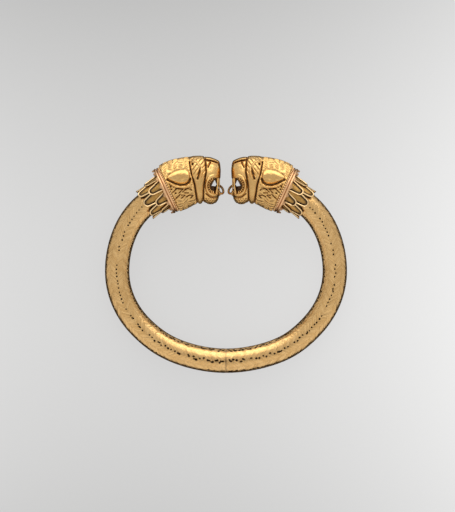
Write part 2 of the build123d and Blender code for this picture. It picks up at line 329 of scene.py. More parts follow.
class Shaper(Graph):
    """A Geometry Nodes tree, and its inputs by name as attributes of given"""

    KINDS = {int: "Int", float: "Float", np.float64: "Float", np.ndarray: "Vector"}

    def __init__(self, name, **inputs):
        super().__init__(bpy.data.node_groups.new(name, "GeometryNodeTree"))
        face = self.tree.interface
        for way in ("INPUT", "OUTPUT"):
            face.new_socket("Geometry", in_out=way, socket_type="NodeSocketGeometry")
        self.values = {}
        for label, value in inputs.items():
            kind = "NodeSocket" + self.KINDS.get(type(value), "Material")
            made = face.new_socket(label, in_out="INPUT", socket_type=kind)
            self.values[made.identifier] = value
        entry = self.tree.nodes.new("NodeGroupInput").outputs
        labels = ("Geometry", *inputs)
        self.given = SimpleNamespace(**{label: Flow(self, entry[label]) for label in labels})

    def geometry(self, kind, **named):
        return self.node(f"GeometryNode{kind}", **named)

    def copies(self, count, shape, place=None, **named):
        """Copies of a shape, each in its place"""
        seats = self.geometry("MeshLine", Count=count)
        if place is not None:
            seats = self.geometry("SetPosition", Geometry=seats, Position=place)
        made = self.geometry("InstanceOnPoints", Points=seats, Instance=shape, **named)
        return self.geometry("RealizeInstances", Geometry=made)

    def curve_number(self):
        """Which of the copied curves a point is on"""
        index = self.geometry("InputIndex")
        return self.geometry("FieldOnDomain", Value=index, domain="CURVE", data_type="INT")

    def stored(self, shape, label, value):
        """The geometry with a number stored on its points"""
        return self.geometry(
            "StoreNamedAttribute", Geometry=shape, Name=label, Value=value,
            data_type="FLOAT", domain="POINT",
        )

    def circle(self, sides, radius):
        return self.geometry("CurvePrimitiveCircle", Resolution=sides, Radius=radius)

    def swept(self, curve, outline, **named):
        """An outline swept along curves, with closed ends"""
        return self.geometry(
            "CurveToMesh", Curve=curve, Profile_Curve=outline, Fill_Caps=True, **named
        )

    def painted(self, shape, material):
        shape = self.geometry("RealizeInstances", Geometry=shape)
        return self.geometry("SetMaterial", Geometry=shape, Material=material)

    def shape(self, host, *parts):
        """Runs the tree on a host object, and returns the plain mesh of all its parts"""
        joined = self.tree.nodes.new("GeometryNodeJoinGeometry")
        leave = self.tree.nodes.new("NodeGroupOutput")
        for part in parts:
            self.tree.links.new(part.socket, joined.inputs[0])
        self.tree.links.new(joined.outputs[0], leave.inputs[0])
        modifier = host.modifiers.new("shape", "NODES")
        modifier.node_group = self.tree
        for identifier, value in self.values.items():
            plain = value.tolist() if isinstance(value, (np.ndarray, np.floating)) else value
            modifier[identifier] = plain
        return baked(host)


def mesh_host(name, points, faces):
    mesh = bpy.data.meshes.new(name)
    mesh.from_pydata(points, [], faces)
    return linked(name, mesh)


def curve_host(name, points):
    """A curve object of one run of straight stretches"""
    data = bpy.data.curves.new(name, "CURVE")
    data.dimensions = "3D"
    spline = data.splines.new("POLY")
    spline.points.add(len(points) - 1)
    spline.points.foreach_set("co", np.column_stack((points, np.ones(len(points)))).ravel())
    return linked(name, data)


# Materials
# How brightly the paper glows: in the middle, per metre right and up, and per square metre
PAPER_GLOW = (0.609, 0.944, -0.335, 13.7, -16.7)
# How fine the clouds, mottles and specks of the golds are
CLOUDS, MOTTLES, SPECKS = 260.0, 1000.0, 5200.0


def rgba(red, green, blue):
    return (red, green, blue, 1.0)


def noise(graph, scale, detail=3.0):
    place = graph.shader("TexCoord", out="Object")
    return graph.shader("TexNoise", Vector=place, Scale=scale, Detail=detail)


def gold(name, bright, warm, deep, roughness, grain):
    """Gold that is bright where it is rubbed and dark where the hollow attribute paints shade (with
    patina in the head's hollows) and along the strands' side edges (painted shade between strands),
    with a fine satin grain
    """
    material = bpy.data.materials.new(name)
    graph = emptied(material)
    hollow, tone, edge = (
        graph.shader("Attribute", out="Fac", attribute_name=label)
        for label in ("hollow", "tone", "edge")
    )
    cloud, mottle, speck = noise(graph, CLOUDS), noise(graph, MOTTLES), noise(graph, SPECKS, 2.0)
    # dark: painted shade from the hollow attribute, with patina in the head's hollows, and painted
    # shade on the strands' side edges
    dark = (hollow + (speck - 0.5) * 0.25 * (hollow > 0.02) + edge ** 6 * 0.9).clamped()
    shade = (cloud + mottle * 1.4 - 0.7 + tone * 0.5).clamped()
    ground = graph.mix(shade, rgba(*bright), rgba(*warm))
    bump = graph.shader("Bump", Strength=grain, Distance=0.00004, Height=speck + mottle * 3)
    surface = graph.shader(
        "BsdfPrincipled",
        Base_Color=graph.mix(dark, ground, rgba(*deep)),
        Roughness=roughness + (mottle - 0.5) * 0.2 + dark * 0.25,
        Metallic=1 - dark * 0.45,
        Normal=bump,
    )
    graph.shader("OutputMaterial", Surface=surface)
    return material


def floor_finish():
    """Pale studio paper that mostly glows, so that shadows on it stay faint"""
    material = bpy.data.materials.new("studio_paper")
    graph = emptied(material)
    right, up, _ = graph.parts(graph.shader("TexCoord", out="Object"))
    level, across, rise, bow, sag = PAPER_GLOW
    glow = right * across + up * rise + right * right * bow + up * up * sag + level
    glow = glow + (noise(graph, 900.0, 2.0) - 0.5) * 0.01
    glow = graph.shader("Clamp", glow, Min=0.42, Max=0.82)
    surface = graph.shader(
        "BsdfPrincipled",
        Base_Color=graph.mix(glow, rgba(0.09, 0.09, 0.09), rgba(0.11, 0.11, 0.11)),
        Roughness=0.9,
        Specular_IOR_Level=0.0,
        Emission_Color=graph.shader("CombineXYZ", glow, glow, glow),
        Emission_Strength=1.0,
    )
    graph.shader("OutputMaterial", Surface=surface)
    return material


# Bright, warm and deep colour (the deep one for painted shade and patina), roughness and grain of
# each
GOLDS = (
    ("woven_gold", (0.88, 0.57, 0.25), (0.74, 0.455, 0.18), (0.07, 0.035, 0.012), 0.23, 0.35),
    # The pits' gold is near-black: painted shade for the holes of the weave
    ("pit_gold", (0.022, 0.01, 0.003), (0.022, 0.01, 0.003), (0.012, 0.006, 0.002), 0.7, 0.3),
    ("petal_floor", (0.33, 0.18, 0.05), (0.62, 0.36, 0.11), (0.02, 0.009, 0.003), 0.36, 0.9),
    ("wire_gold", (0.95, 0.70, 0.38), (0.90, 0.61, 0.30), (0.24, 0.13, 0.05), 0.27, 0.3),
    ("band_gold", (0.87, 0.56, 0.31), (0.80, 0.47, 0.24), (0.20, 0.10, 0.04), 0.33, 0.4),
    ("chased_gold", (0.86, 0.565, 0.225), (0.77, 0.45, 0.155), (0.085, 0.038, 0.012), 0.32, 0.5),
)
woven_gold, pit_gold, petal_floor, wire_gold, band_gold, chased_gold = (
    gold(*row) for row in GOLDS
)


# Meshes
def places_of(mesh):
    """The places of a mesh's points"""
    places = np.zeros(len(mesh.vertices) * 3)
    mesh.vertices.foreach_get("co", places)
    return places.reshape(-1, 3)


def mirrored(mesh):
    """The same mesh for the other side of the bangle"""
    other = mesh.copy()
    places = places_of(other) * (-1.0, 1.0, 1.0)
    other.vertices.foreach_set("co", places.astype(np.float32).ravel())
    other.flip_normals()
    other.update()
    return other


def dressed(name, mesh, node):
    """Makes a mesh a piece of the object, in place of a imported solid"""
    mesh.name = name
    made = linked(name, mesh)
    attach(made, "root")
    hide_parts(node)


def pair(name, mesh, node):
    dressed(f"left_{name}", mesh, f"left_{node}")
    dressed(f"right_{name}", mirrored(mesh), f"right_{node}")


# Hoop
def two_radii(turn_1, turn_2, across, along):
    """Radii of two tangent arcs, ending at turn_1 and turn_2, that reach a place together"""
    c1, s1, c2, s2 = cos(turn_1), sin(turn_1), cos(turn_2), sin(turn_2)
    a11, a12 = 1 - c1, c1 - c2
    a21, a22 = s1, s2 - s1
    det = a11 * a22 - a12 * a21
    return (across * a22 - along * a12) / det, (along * a11 - across * a21) / det


def half_hoop_line():
    """Points of the left half's centre line, from the end in the sleeve to the closed side"""
    wide, tight = two_radii(radians(CORNER_TURN), pi / 2, CLOSED_DEPTH, HALF_WIDTH)
    side_turn = 90 - HOOP_END_TILT
    reach = HALF_WIDTH + sleeve_tip[0]
    side, end = two_radii(radians(side_turn / 2), radians(side_turn), reach, sleeve_tip[1])
    arcs = (
        (wide, CORNER_TURN), (tight, 90 - CORNER_TURN), (side, side_turn / 2), (end, side_turn / 2)
    )
    place, tilt = np.array((0.0, -CLOSED_DEPTH, 0.0)), 180.0
    points = [place]
    for radius, turn in arcs:
        middle = place - outward(tilt) * radius
        steps = math.ceil(radius * radians(turn) / PATH_STEP)
        for i in range(1, steps + 1):
            points.append(middle + outward(tilt - turn * i / steps) * radius)
        place, tilt = points[-1], tilt - turn
    for i in range(1, math.ceil(SPIGOT / PATH_STEP) + 1):
        points.append(place + heading(tilt) * min(i * PATH_STEP, SPIGOT))
    return np.array(points[::-1])


def swelled(line, swell):
    """The left half's line, pushed outward round its corner"""
    steps = np.linalg.norm(np.diff(line, axis=0), axis=1)
    from_seam = np.append(np.cumsum(steps[::-1])[::-1], 0.0)
    across = np.cross(np.gradient(line, axis=0), NEAR)
    across /= np.linalg.norm(across, axis=1)[:, None]
    return line + across * ridge(from_seam - CORNER_PLACE, CORNER_SPAN, swell)[:, None]


def whole(number):
    """The whole part of a flow that may lie a hair under a whole number"""
    return (number + 0.0001).floor()


def woven_half(side, seed):
    """Half of the hoop: rows of slanted strands that meet in Vs, over a plain tube"""
    line = swelled(half_hoop_line(), CORNER_SWELL[side])
    length = np.linalg.norm(np.diff(line, axis=0), axis=1).sum()
    line = line * np.array((side, 1.0, 1.0))
    g = Shaper(
        f"weave_{seed}",
        Rows=math.ceil((length - WEAVE_START) / STRAND_PITCH),
        Strands=2 * V_ROWS,
        Pitch=STRAND_PITCH * MM,
        Reach=pi * half_tube / V_ROWS / tan(radians(STRAND_LEAN)) * MM,
        Start=WEAVE_START * MM,
        End=(length - SEAM_GAP) * MM,
        Radius=(half_tube - STRAND_HALF_HEIGHT) * MM,
        Half_Width=STRAND_HALF_WIDTH * MM,
        Flatness=STRAND_HALF_HEIGHT / STRAND_HALF_WIDTH,
        Mid_Dip=MID_DIP * MM,
        Pit_Dip=PIT_DIP * MM,
        Pit_Gap=PIT_GAP * MM,
        Pit_Share=PIT_SHARE,
        Pit_Radius=PIT_R * MM,
        Turn=radians(ROW_TURN),
        Core_Radius=CORE_R * MM,
        Near=LAID @ NEAR,
        Side=float(side),
        Seed=seed,
        Strand=woven_gold,
        Pit=pit_gold,
    )
    given = g.given
    row_angle = 2 * pi / V_ROWS

    def chance(identity, salt, low, high):
        return g.node(
            "FunctionNodeRandomValue", Min_001=low, Max_001=high, ID=identity,
            Seed=given.Seed + salt, out="Value_001", data_type="FLOAT",
        )

    def round_hoop(run, angle, height):
        """A place over the hoop's line, and the directions outward and along there"""
        centre, ahead = (
            g.geometry("SampleCurve", Curves=given.Geometry, Length=run, out=label, mode="LENGTH")
            for label in ("Position", "Tangent")
        )
        aside = ahead.cross(given.Near).scaled(given.Side)
        radial = given.Near.scaled(angle.cos()).plus(aside.scaled(angle.sin()))
        return centre.plus(radial.scaled(height)), radial, ahead

    def pit_share(closing):
        """How many of the Vs have a pit, from the share of the way to the closed side"""
        return given.Pit_Share + closing * closing * PIT_SHARE_RISE

    # the strands, each a copy of one straight stem
    stem = g.geometry("CurvePrimitiveLine", End=(MM, 0.0, 0.0))
    stem = g.geometry("ResampleCurve", Curve=stem, Count=STRAND_POINTS)
    strands = g.copies(given.Rows * given.Strands, stem)
    strand = g.curve_number()
    along = g.geometry("SplineParameter", out="Factor")
    row = whole(strand / given.Strands)
    arm = strand - row * given.Strands
    column = whole(arm / 2)
    hand = (arm - column * 2) * 2 - 1
    vee = row * V_ROWS + column
    closing = given.Pitch * row / given.End
    pit = ((row % 2) < 0.5) * (chance(vee, 1, 0.0, 1.0) < pit_share(closing))
    width = chance(vee, 2, 0.5, 1.2) * (0.8 + closing * 0.5)
    gap = (pit * given.Pit_Gap * width - STRAND_OVERLAP * MM) / given.Radius
    shake = chance(strand, 3, -0.08, 0.08)
    run = given.Start + (row + shake) * given.Pitch + along * given.Reach
    run = run.least(given.End)
    stretch = (1 - along) * (row_angle / 2 * 1.02) + along * gap
    angle = column * row_angle + given.Turn * run / given.End + hand * stretch
    dip = (1 - along) ** 3 * given.Mid_Dip + along ** 4 * given.Pit_Dip
    lift = given.Radius - dip + chance(strand, 4, -0.008 * MM, 0.006 * MM)
    spot, radial, _ = round_hoop(run, angle, lift)
    laid = g.geometry("SetPosition", Geometry=strands, Position=spot)
    laid = g.geometry("SetCurveNormal", Curve=laid, Normal=radial, mode="FREE")
    laid = g.geometry("SetCurveTilt", Curve=laid, Tilt=chance(strand, 11, -0.1, 0.1))
    # The strands get painted shade at both ends, where they dip, most into the pits; they are
    # darker at the seam, and by the pits at random, more so towards the closed side
    seam = ((run - given.End) / (SEAM_SHADE * MM) + 1).clamped()
    darker_by_pits = closing ** 3 * chance(strand, 10, 0.0, 1.0)
    hollow = along ** 10 * (0.05 + pit * 0.3) + (1 - along) ** 6 * 0.05 + seam * 0.35
    laid = g.stored(laid, "hollow", hollow + along ** 4 * darker_by_pits * 0.75)
    laid = g.stored(laid, "tone", chance(strand, 5, -1.0, 1.0))

    # their flat outline, whose two side edges get painted shade between the strands and are sharp
    outline = g.circle(STRAND_SIDES, given.Half_Width)
    across = g.parts(g.geometry("InputPosition"))[1].size()
    outline = g.stored(outline, "edge", across / (given.Half_Width * STRAND_EDGE))
    flat = g.shader("CombineXYZ", given.Flatness, 1.0, 1.0)
    outline = g.geometry("Transform", Geometry=outline, Scale=flat)
    cloth = g.swept(laid, outline, Scale=1 - 0.25 * along ** 4)
    cloth = g.geometry("SetShadeSmooth", Geometry=cloth, Shade_Smooth=True)
    edge = g.geometry("InputNamedAttribute", Name="edge", data_type="FLOAT")
    cloth = g.geometry(
        "SetShadeSmooth", Geometry=cloth, Selection=edge > 0.95, Shade_Smooth=False, domain="EDGE"
    )
    core = g.swept(given.Geometry, g.circle(CORE_SIDES, given.Core_Radius))

    # near-black pits where the two arms of a V meet: painted shade for the holes of the weave
    index = g.geometry("InputIndex")
    row = whole(index / V_ROWS)
    column = index % V_ROWS
    vee = row * V_ROWS + column
    closing = given.Pitch * row / given.End
    share = pit_share(closing)
    share = share + ((row % 2) > 0.5) * (closing ** 3 * ODD_PIT_SHARE - share)
    run = given.Start + row * given.Pitch + given.Reach
    run = run + chance(vee, 6, -PIT_SHAKE * MM, PIT_SHAKE * MM)
    kept = (chance(vee, 1, 0.0, 1.0) < share) * (run < given.End - PIT_CLEARANCE * MM)
    angle = column * row_angle + given.Turn * run / given.End
    angle = angle + chance(vee, 7, -0.05, 0.05) * (closing ** 3 * 2.5 + 1)
    lift = given.Radius + given.Half_Width * given.Flatness * 0.3
    spot, radial, ahead = round_hoop(run, angle, lift)
    facing = g.node(
        "FunctionNodeAxesToRotation", Primary_Axis=radial, Secondary_Axis=ahead,
        primary_axis="Z", secondary_axis="X",
    )
    grown = closing ** 3 * 0.45 + 0.85
    broad, deep = grown * chance(vee, 8, 0.75, 1.2), grown * chance(vee, 9, 0.7, 1.1)
    size = g.shader("CombineXYZ", broad, deep, 0.12)
    pits = g.copies(
        given.Rows * V_ROWS, g.geometry("MeshIcoSphere", Radius=given.Pit_Radius, Subdivisions=2),
        spot, Selection=kept, Rotation=facing, Scale=size,
    )
    parts = ((core, given.Strand), (pits, given.Pit), (cloth, given.Strand))
    host = curve_host(f"hoop_line_{seed}", at_rest(line))
    return g.shape(host, *(g.painted(*part) for part in parts))


dressed("left_woven_hoop", woven_half(1, 11), "hoop")
dressed("right_woven_hoop", woven_half(-1, 29), "hoop")


# Plain shapes in turned frames
def turned(origin, axis, side):
    """Turns places given along an axis, along its side and square to both into the flat frame"""
    axis = axis / np.linalg.norm(axis)
    square = np.cross(axis, side)
    square /= np.linalg.norm(square)
    basis = np.array((axis, np.cross(square, axis), square))
    return lambda places: origin + np.asarray(places, float) @ basis


def round_places(along, radius, angle):
    """Places round an axis, their angle measured from the near side towards the outside"""
    along, radius, angle = np.broadcast_arrays(along, radius, angle)
    return np.stack((along, radius * np.sin(angle), radius * np.cos(angle)), axis=-1)


def grid_faces(rows, columns, wrapped=False):
    """Four-sided faces over a grid of points, which wraps both ways or neither"""
    faces = []
    for i in range(rows - (not wrapped)):
        for j in range(columns - (not wrapped)):
            k, m = (i + 1) % rows, (j + 1) % columns
            faces.append((i * columns + j, i * columns + m, k * columns + m, k * columns + j))
    return faces


def volume(points, faces):
    """Six times the volume inside the faces, negative where they point inwards"""
    total = 0.0
    for size in {len(face) for face in faces}:
        corners = points[np.array([face for face in faces if len(face) == size])]
        for k in range(1, size - 1):
            crossed = np.cross(corners[:, k], corners[:, k + 1])
            total += np.einsum("ij,ij->", corners[:, 0], crossed)
    return total


def taken(mesh):
    """A mesh's points and faces, the mesh itself removed"""
    points, faces = places_of(mesh), [tuple(face.vertices) for face in mesh.polygons]
    bpy.data.meshes.remove(mesh)
    return points, faces


class Stock:
    """The closed shells of one mesh, turned into the flat frame as they are added"""

    def __init__(self, *materials, frame=np.asarray):
        self.materials, self.frame = materials, frame
        self.points, self.faces, self.kinds, self.hollow = [], [], [], []
        self.count = 0

    def add(self, shell, material, hollow=0.0):
        points, faces = shell
        points = self.frame(points)
        if volume(points - points.mean(axis=0), faces) < 0:
            faces = [face[::-1] for face in faces]
        self.faces += [tuple(corner + self.count for corner in face) for face in faces]
        self.kinds += [self.materials.index(material)] * len(faces)
        self.points.append(points)
        self.hollow.append(np.broadcast_to(hollow, len(points)))
        self.count += len(points)

    def mesh(self, name, crease=40):
        made = bpy.data.meshes.new(name)
        made.from_pydata(at_rest(np.concatenate(self.points)).tolist(), [], self.faces)
        for material in self.materials:
            made.materials.append(material)
        # the hollow attribute: painted shade, and on the head also the patina of its hollows
        values = made.attributes.new("hollow", "FLOAT", "POINT")
        values.data.foreach_set("value", np.concatenate(self.hollow).astype(np.float32))
        made.polygons.foreach_set("material_index", self.kinds)
        made.polygons.foreach_set("use_smooth", np.ones(len(made.polygons), bool))
        made.set_sharp_from_angle(angle=radians(crease))
        made.update()
        return made


def lathe(profile, sides):
    """A closed outline of (along, radius) corners turned round the axis, and its faces"""
    angles = np.arange(sides) * 2 * pi / sides
    along, radius = np.array(profile, float).T
    places = round_places(along[None, :], radius[None, :], angles[:, None])
    return places.reshape(-1, 3), grid_faces(sides, len(profile), wrapped=True)


def wire_outline(radius, wire_r, along=0.0):
    turns = np.arange(WIRE_SIDES) * 2 * pi / WIRE_SIDES
    return np.stack((along + wire_r * np.cos(turns), radius + wire_r * np.sin(turns)), axis=1)


def bar_outline(low, high, inner, outer):
    """A rectangle with small bevels, along the axis from low to high"""
    return (
        (low + BEVEL, inner), (high - BEVEL, inner), (high, inner + BEVEL),
        (high, outer - BEVEL), (high - BEVEL, outer), (low + BEVEL, outer),
        (low, outer - BEVEL), (low, inner + BEVEL),
    )


def ring_of(host, count, radius, place, first_turn):
    """Copies of a small shape round an axis, each with its Z outward from it"""
    g = Shaper(
        f"ring_of_{host.name}", Count=count, Radius=float(radius), Place=float(place),
        First_Turn=float(first_turn), Material=wire_gold,
    )
    given = g.given
    angle = given.First_Turn + g.geometry("InputIndex") * (2 * pi / count)
    spot = g.shader(
        "CombineXYZ", given.Place, angle.sin() * given.Radius, angle.cos() * given.Radius
    )
    facing = g.shader("CombineXYZ", angle * -1)
    made = g.copies(given.Count, given.Geometry, spot, Rotation=facing)
    return taken(g.shape(host, g.painted(made, given.Material)))


# Petal sleeve
band_frame = turned(band_back, heading(BAND_TILT), outward(BAND_TILT))
sleeve_frame = turned(sleeve_tip, heading(SLEEVE_TILT), outward(SLEEVE_TILT))
flare = radians(PETAL_FLARE)
skew = tan(radians(TIP_SKEW))


def in_sleeve(places):
    """Sleeve places in the flat frame, stopped at the plate of the neck band"""
    points = sleeve_frame(places)
    past = (points - band_back) @ heading(BAND_TILT) - (POINT_LENGTH - FIT_GAP)
    run = heading(SLEEVE_TILT)
    back = np.maximum(past, 0) / (run @ heading(BAND_TILT))
    return points - back[:, None] * run


def petal_start(half, across):
    """How far behind its tip a petal is as wide as a share of its full half breadth"""
    wide = np.minimum(np.abs(across) * half, half)
    tip_wide = PETAL_TIP_R * cos(flare)
    round_part = PETAL_TIP_R - np.sqrt(np.maximum(PETAL_TIP_R**2 - wide**2, 0))
    straight = PETAL_TIP_R * (1 - sin(flare)) + (wide - tip_wide) / tan(flare)
    return np.where(wide < tip_wide, round_part, straight)


def petal_wires(first_turn, start, wire_r, half, reach):
    """The wires that edge a row of petals, bent round the sleeve"""
    across = np.sin(np.linspace(-pi / 2, pi / 2, PETAL_WIRE_POINTS))
    edge = petal_start(half, across) + PETAL_WIRE / 2
    outline = [(a, b * half, 0.0) for a, b in zip(edge, across)]
    outline = [(reach, -half, 0.0), *outline, (reach, half, 0.0)]
    g = Shaper(
        "petal_wires", Petals=PETALS, First_Turn=float(first_turn), Start=float(start),
        Skew=wire_r * skew, Radius=wire_r - PETAL_WIRE / 2, Wire_Radius=PETAL_WIRE / 2,
        Material=wire_gold,
    )
    given = g.given
    wires = g.copies(given.Petals, given.Geometry)
    middle = given.First_Turn + g.curve_number() * (2 * pi / PETALS)
    behind, aside, _ = g.parts(g.geometry("InputPosition"))
    angle = middle + aside / given.Radius
    bent = g.shader(
        "CombineXYZ", behind + given.Start + given.Skew * middle.sin(),
        angle.sin() * given.Radius, angle.cos() * given.Radius,
    )
    wires = g.geometry("SetPosition", Geometry=wires, Position=bent)
    wires = g.swept(wires, g.circle(PETAL_WIRE_SIDES, given.Wire_Radius))
    host = curve_host("petal_outline", outline)
    return taken(g.shape(host, g.painted(wires, given.Material)))


def petal_plate(turn, start, wire_r, half, reach):
    """A petal's crowned floor, and the painted shade along its edges and on its underside"""
    rows, columns = PETAL_ROWS, PETAL_COLUMNS
    tip = start + PETAL_WIRE / 2 + wire_r * skew * sin(turn)
    across = np.sin(np.linspace(-pi / 2, pi / 2, columns))[None, :]
    edge = tip + petal_start(half, across)
    along = edge + np.linspace(0, 1, rows)[:, None] ** 1.6 * (reach - edge)
    # how far each place lies inside the edge
    behind = along - tip
    side = np.abs(across) * half + 0 * along
    wide = PETAL_TIP_R * cos(flare) + (behind - PETAL_TIP_R * (1 - sin(flare))) * tan(flare)
    inset = np.minimum((np.minimum(wide, half) - side) * cos(flare), half - side)
    round_inset = PETAL_TIP_R - np.hypot(PETAL_TIP_R - behind, side)
    inset = np.where(behind < PETAL_TIP_R, round_inset, inset)
    floor = wire_r - PETAL_RIM
    top = floor + PETAL_CROWN * np.clip(inset / half * 1.4, 0, 1)
    angle = turn + across * half / floor
    upper = round_places(along, top, angle)
    lower = round_places(along, floor - PETAL_PLATE, angle)
    faces = grid_faces(rows, columns)
    total = rows * columns
    faces += [tuple(corner + total for corner in face[::-1]) for face in faces]
    rim = list(range(columns))
    rim += [i * columns + columns - 1 for i in range(1, rows)]
    rim += [(rows - 1) * columns + j for j in range(columns - 2, -1, -1)]
    rim += [i * columns for i in range(rows - 2, 0, -1)]
    faces += [(b, a, a + total, b + total) for a, b in zip(rim, rim[1:] + rim[:1])]
    # painted shade beside the wire round the floor's edge, and all over the plate's underside
    shade = np.clip((EDGE_SHADE[0] - inset) / EDGE_SHADE[1], 0, 1).ravel()
    points = np.concatenate((upper.reshape(-1, 3), lower.reshape(-1, 3)))
    return (points, faces), np.concatenate((shade, np.ones(total)))


def petal_sleeve():
    core_r = half_tube + FIT_GAP + CORE_WALL
    long_r = core_r + PETAL_STANDOFF + PETAL_PLATE + PETAL_RIM
    short_r = long_r + PETAL_LAP + PETAL_RIM
    reach = SLEEVE_LENGTH + BAND_D / 2
    stock = Stock(petal_floor, wire_gold, frame=in_sleeve)
    core = bar_outline(CORE_START, reach, core_r - CORE_WALL, core_r + PETAL_LAP)
    # the core, seen between the petals' tips, gets painted shade
    stock.add(lathe(core, SLEEVE_SIDES), petal_floor, 0.7)
    rows = ((0, LONG_ROW_START, long_r), (pi / PETALS, SHORT_ROW_START, short_r))
    for first_turn, start, wire_r in rows:
        row = (start, wire_r, (2 * wire_r * sin(pi / PETALS) - PETAL_WIRE) / 2, reach)
        for i in range(PETALS):
            shell, shade = petal_plate(first_turn + i * 2 * pi / PETALS, *row)
            stock.add(shell, petal_floor, shade)
        stock.add(petal_wires(first_turn, *row), wire_gold)
    return stock.mesh("petal_sleeve")


pair("petals", petal_sleeve(), "petal_sleeve")


# Neck band
def band_tooth():
    """One of the small points along the band's back edge, its Z outward"""
    base, half = POINT_LENGTH - FIRST_WIRE[1], POINT_WIDTH / 2
    outline = ((-FIRST_WIRE[1], 0.0), (base, half), (0.0, half), (0.0, -half), (base, -half))
    sides = len(outline)
    points = [(x, y, z) for z in (-POINT_THICKNESS / 2, POINT_THICKNESS / 2) for x, y in outline]
    faces = [tuple(range(sides))[::-1], tuple(range(sides, 2 * sides))]
    for i in range(sides):
        j = (i + 1) % sides
        faces.append((i, j, j + sides, i + sides))
    return mesh_host("band_tooth", points, faces)


def bead():
    bpy.ops.mesh.primitive_ico_sphere_add(subdivisions=2, radius=BEAD_WIRE[0])
    made = bpy.context.object
    made.name = "bead"
    return made


def neck_band():
    radius = BAND_D / 2 - FIRST_WIRE[0]
    plate_end, plate_r = POINT_LENGTH + BAND_PLATE, radius - BAND_WALL / 2
    stock = Stock(band_gold, wire_gold, frame=band_frame)
    # painted shade on the band's wall, its plate and the beads' wire, which lie behind and between
    # the wires; none on the wires
    for outline, sides, shade in (
        (bar_outline(POINT_LENGTH, BAND_WIDTH, radius - BAND_WALL, radius), BAND_SIDES, 0.75),
        (bar_outline(POINT_LENGTH, plate_end, BAND_PLATE_D / 2, plate_r), BAND_SIDES, 0.5),
        (wire_outline(radius, *FIRST_WIRE), BAND_WIRE_SIDES, 0.0),
        (wire_outline(radius, *SECOND_WIRE), BAND_WIRE_SIDES, 0.0),
        (wire_outline(radius, BEAD_WIRE[0] * BEAD_CORE, BEAD_WIRE[1]), BAND_SIDES, 0.7),
    ):
        stock.add(lathe(outline, sides), band_gold, shade)
    stock.add(ring_of(bead(), BEADS, radius, BEAD_WIRE[1], 0), wire_gold)
    # painted shade on the small points, half dark
    teeth = ring_of(band_tooth(), POINTS, radius, FIRST_WIRE[1], pi / POINTS)
    stock.add(teeth, band_gold, 0.5)
    return stock.mesh("neck_band")


pair("band", neck_band(), "neck_band")


# Mouth ring
def mouth_ring():
    twist = radians(RING_TWIST)
    axis = outward(-RING_DROOP) * sin(twist) + NEAR * cos(twist)
    outline = wire_outline((RING_D - RING_WIRE_D) / 2, RING_WIRE_D / 2)
    points, faces = lathe(outline, RING_SIDES)
    points = turned(head_place(*RING_PLACE), axis, heading(-RING_DROOP))(points)
    # painted shade on the flanks of its wire, and where it lies in the mouth's shade
    inward = (RING_D - RING_WIRE_D) / RING_WIRE_D - outline[:, 1] * 2 / RING_WIRE_D
    flanks = np.clip(inward * 1.6, 0, 1) + np.clip(-1.2 - 2 * inward, 0, 0.7)
    in_mouth = np.clip((points[:, 0].mean() - points[:, 0]) * 1.1 - 0.1, 0, 0.9)
    stock = Stock(chased_gold)
    stock.add((points, faces), chased_gold, np.tile(flanks * 0.8, RING_SIDES) + in_mouth)
    return stock.mesh("mouth_ring")


pair("ring", mouth_ring(), "mouth_ring")


# Lion head
# Sections of the head, from the mane to the lips. The first pair is how far behind the nose the
# section's top and bottom lie, as shares of HEAD_LENGTH. The second is how far over and under the
# middle line they lie, as shares of half of HEAD_HEIGHT. Last is the breadth, as a share of
# HEAD_BREADTH.
HEAD_SECTIONS = (
    (1.130, 0.780, 0.680, 1.375, 1.055),
    (1.020, 0.700, 0.785, 1.310, 1.040),
    (0.936, 0.644, 0.840, 1.258, 1.035),
    (0.856, 0.595, 0.880, 1.200, 1.030),
    (0.712, 0.517, 0.940, 1.108, 1.010),
    (0.645, 0.480, 0.945, 1.070, 1.000),
    (0.597, 0.440, 0.960, 1.030, 0.990),
    (0.530, 0.420, 0.995, 1.030, 1.000),
    (0.400, 0.375, 1.000, 1.010, 0.970),
    (0.337, 0.354, 0.980, 0.975, 0.940),
    (0.290, 0.319, 0.950, 1.000, 0.890),
    (0.206, 0.245, 0.940, 1.085, 0.860),
    (0.113, 0.167, 0.865, 1.090, 0.790),
    (0.039, 0.099, 0.785, 1.030, 0.680),
    (0.010, 0.045, 0.640, 0.880, 0.550),
    (0.000, 0.028, 0.430, 0.680, 0.420),
)
SECTION_STEPS = 10         # finer sections between each two
MANE_SQUARENESS, FACE_SQUARENESS = 2.4, 2.8
MANE_R = 7.9               # where the mane meets the neck band
MANE_RISE = 0.12
MANE_BREADTH = 15.1
VOXEL = 0.115
GRID_LOW, GRID_HIGH = (-21.4, 18.4), (-1.0, 37.1)
GRID_DEPTH = 8.5
HEAD_SHARE = 0.5           # of the triangles that the fine grid gives
HOLLOW_BACK_D, HOLLOW_FRONT_D = 12.4, 9.6
HOLLOW_LENGTH = 9.0
HOLLOW_TILT = 18.0

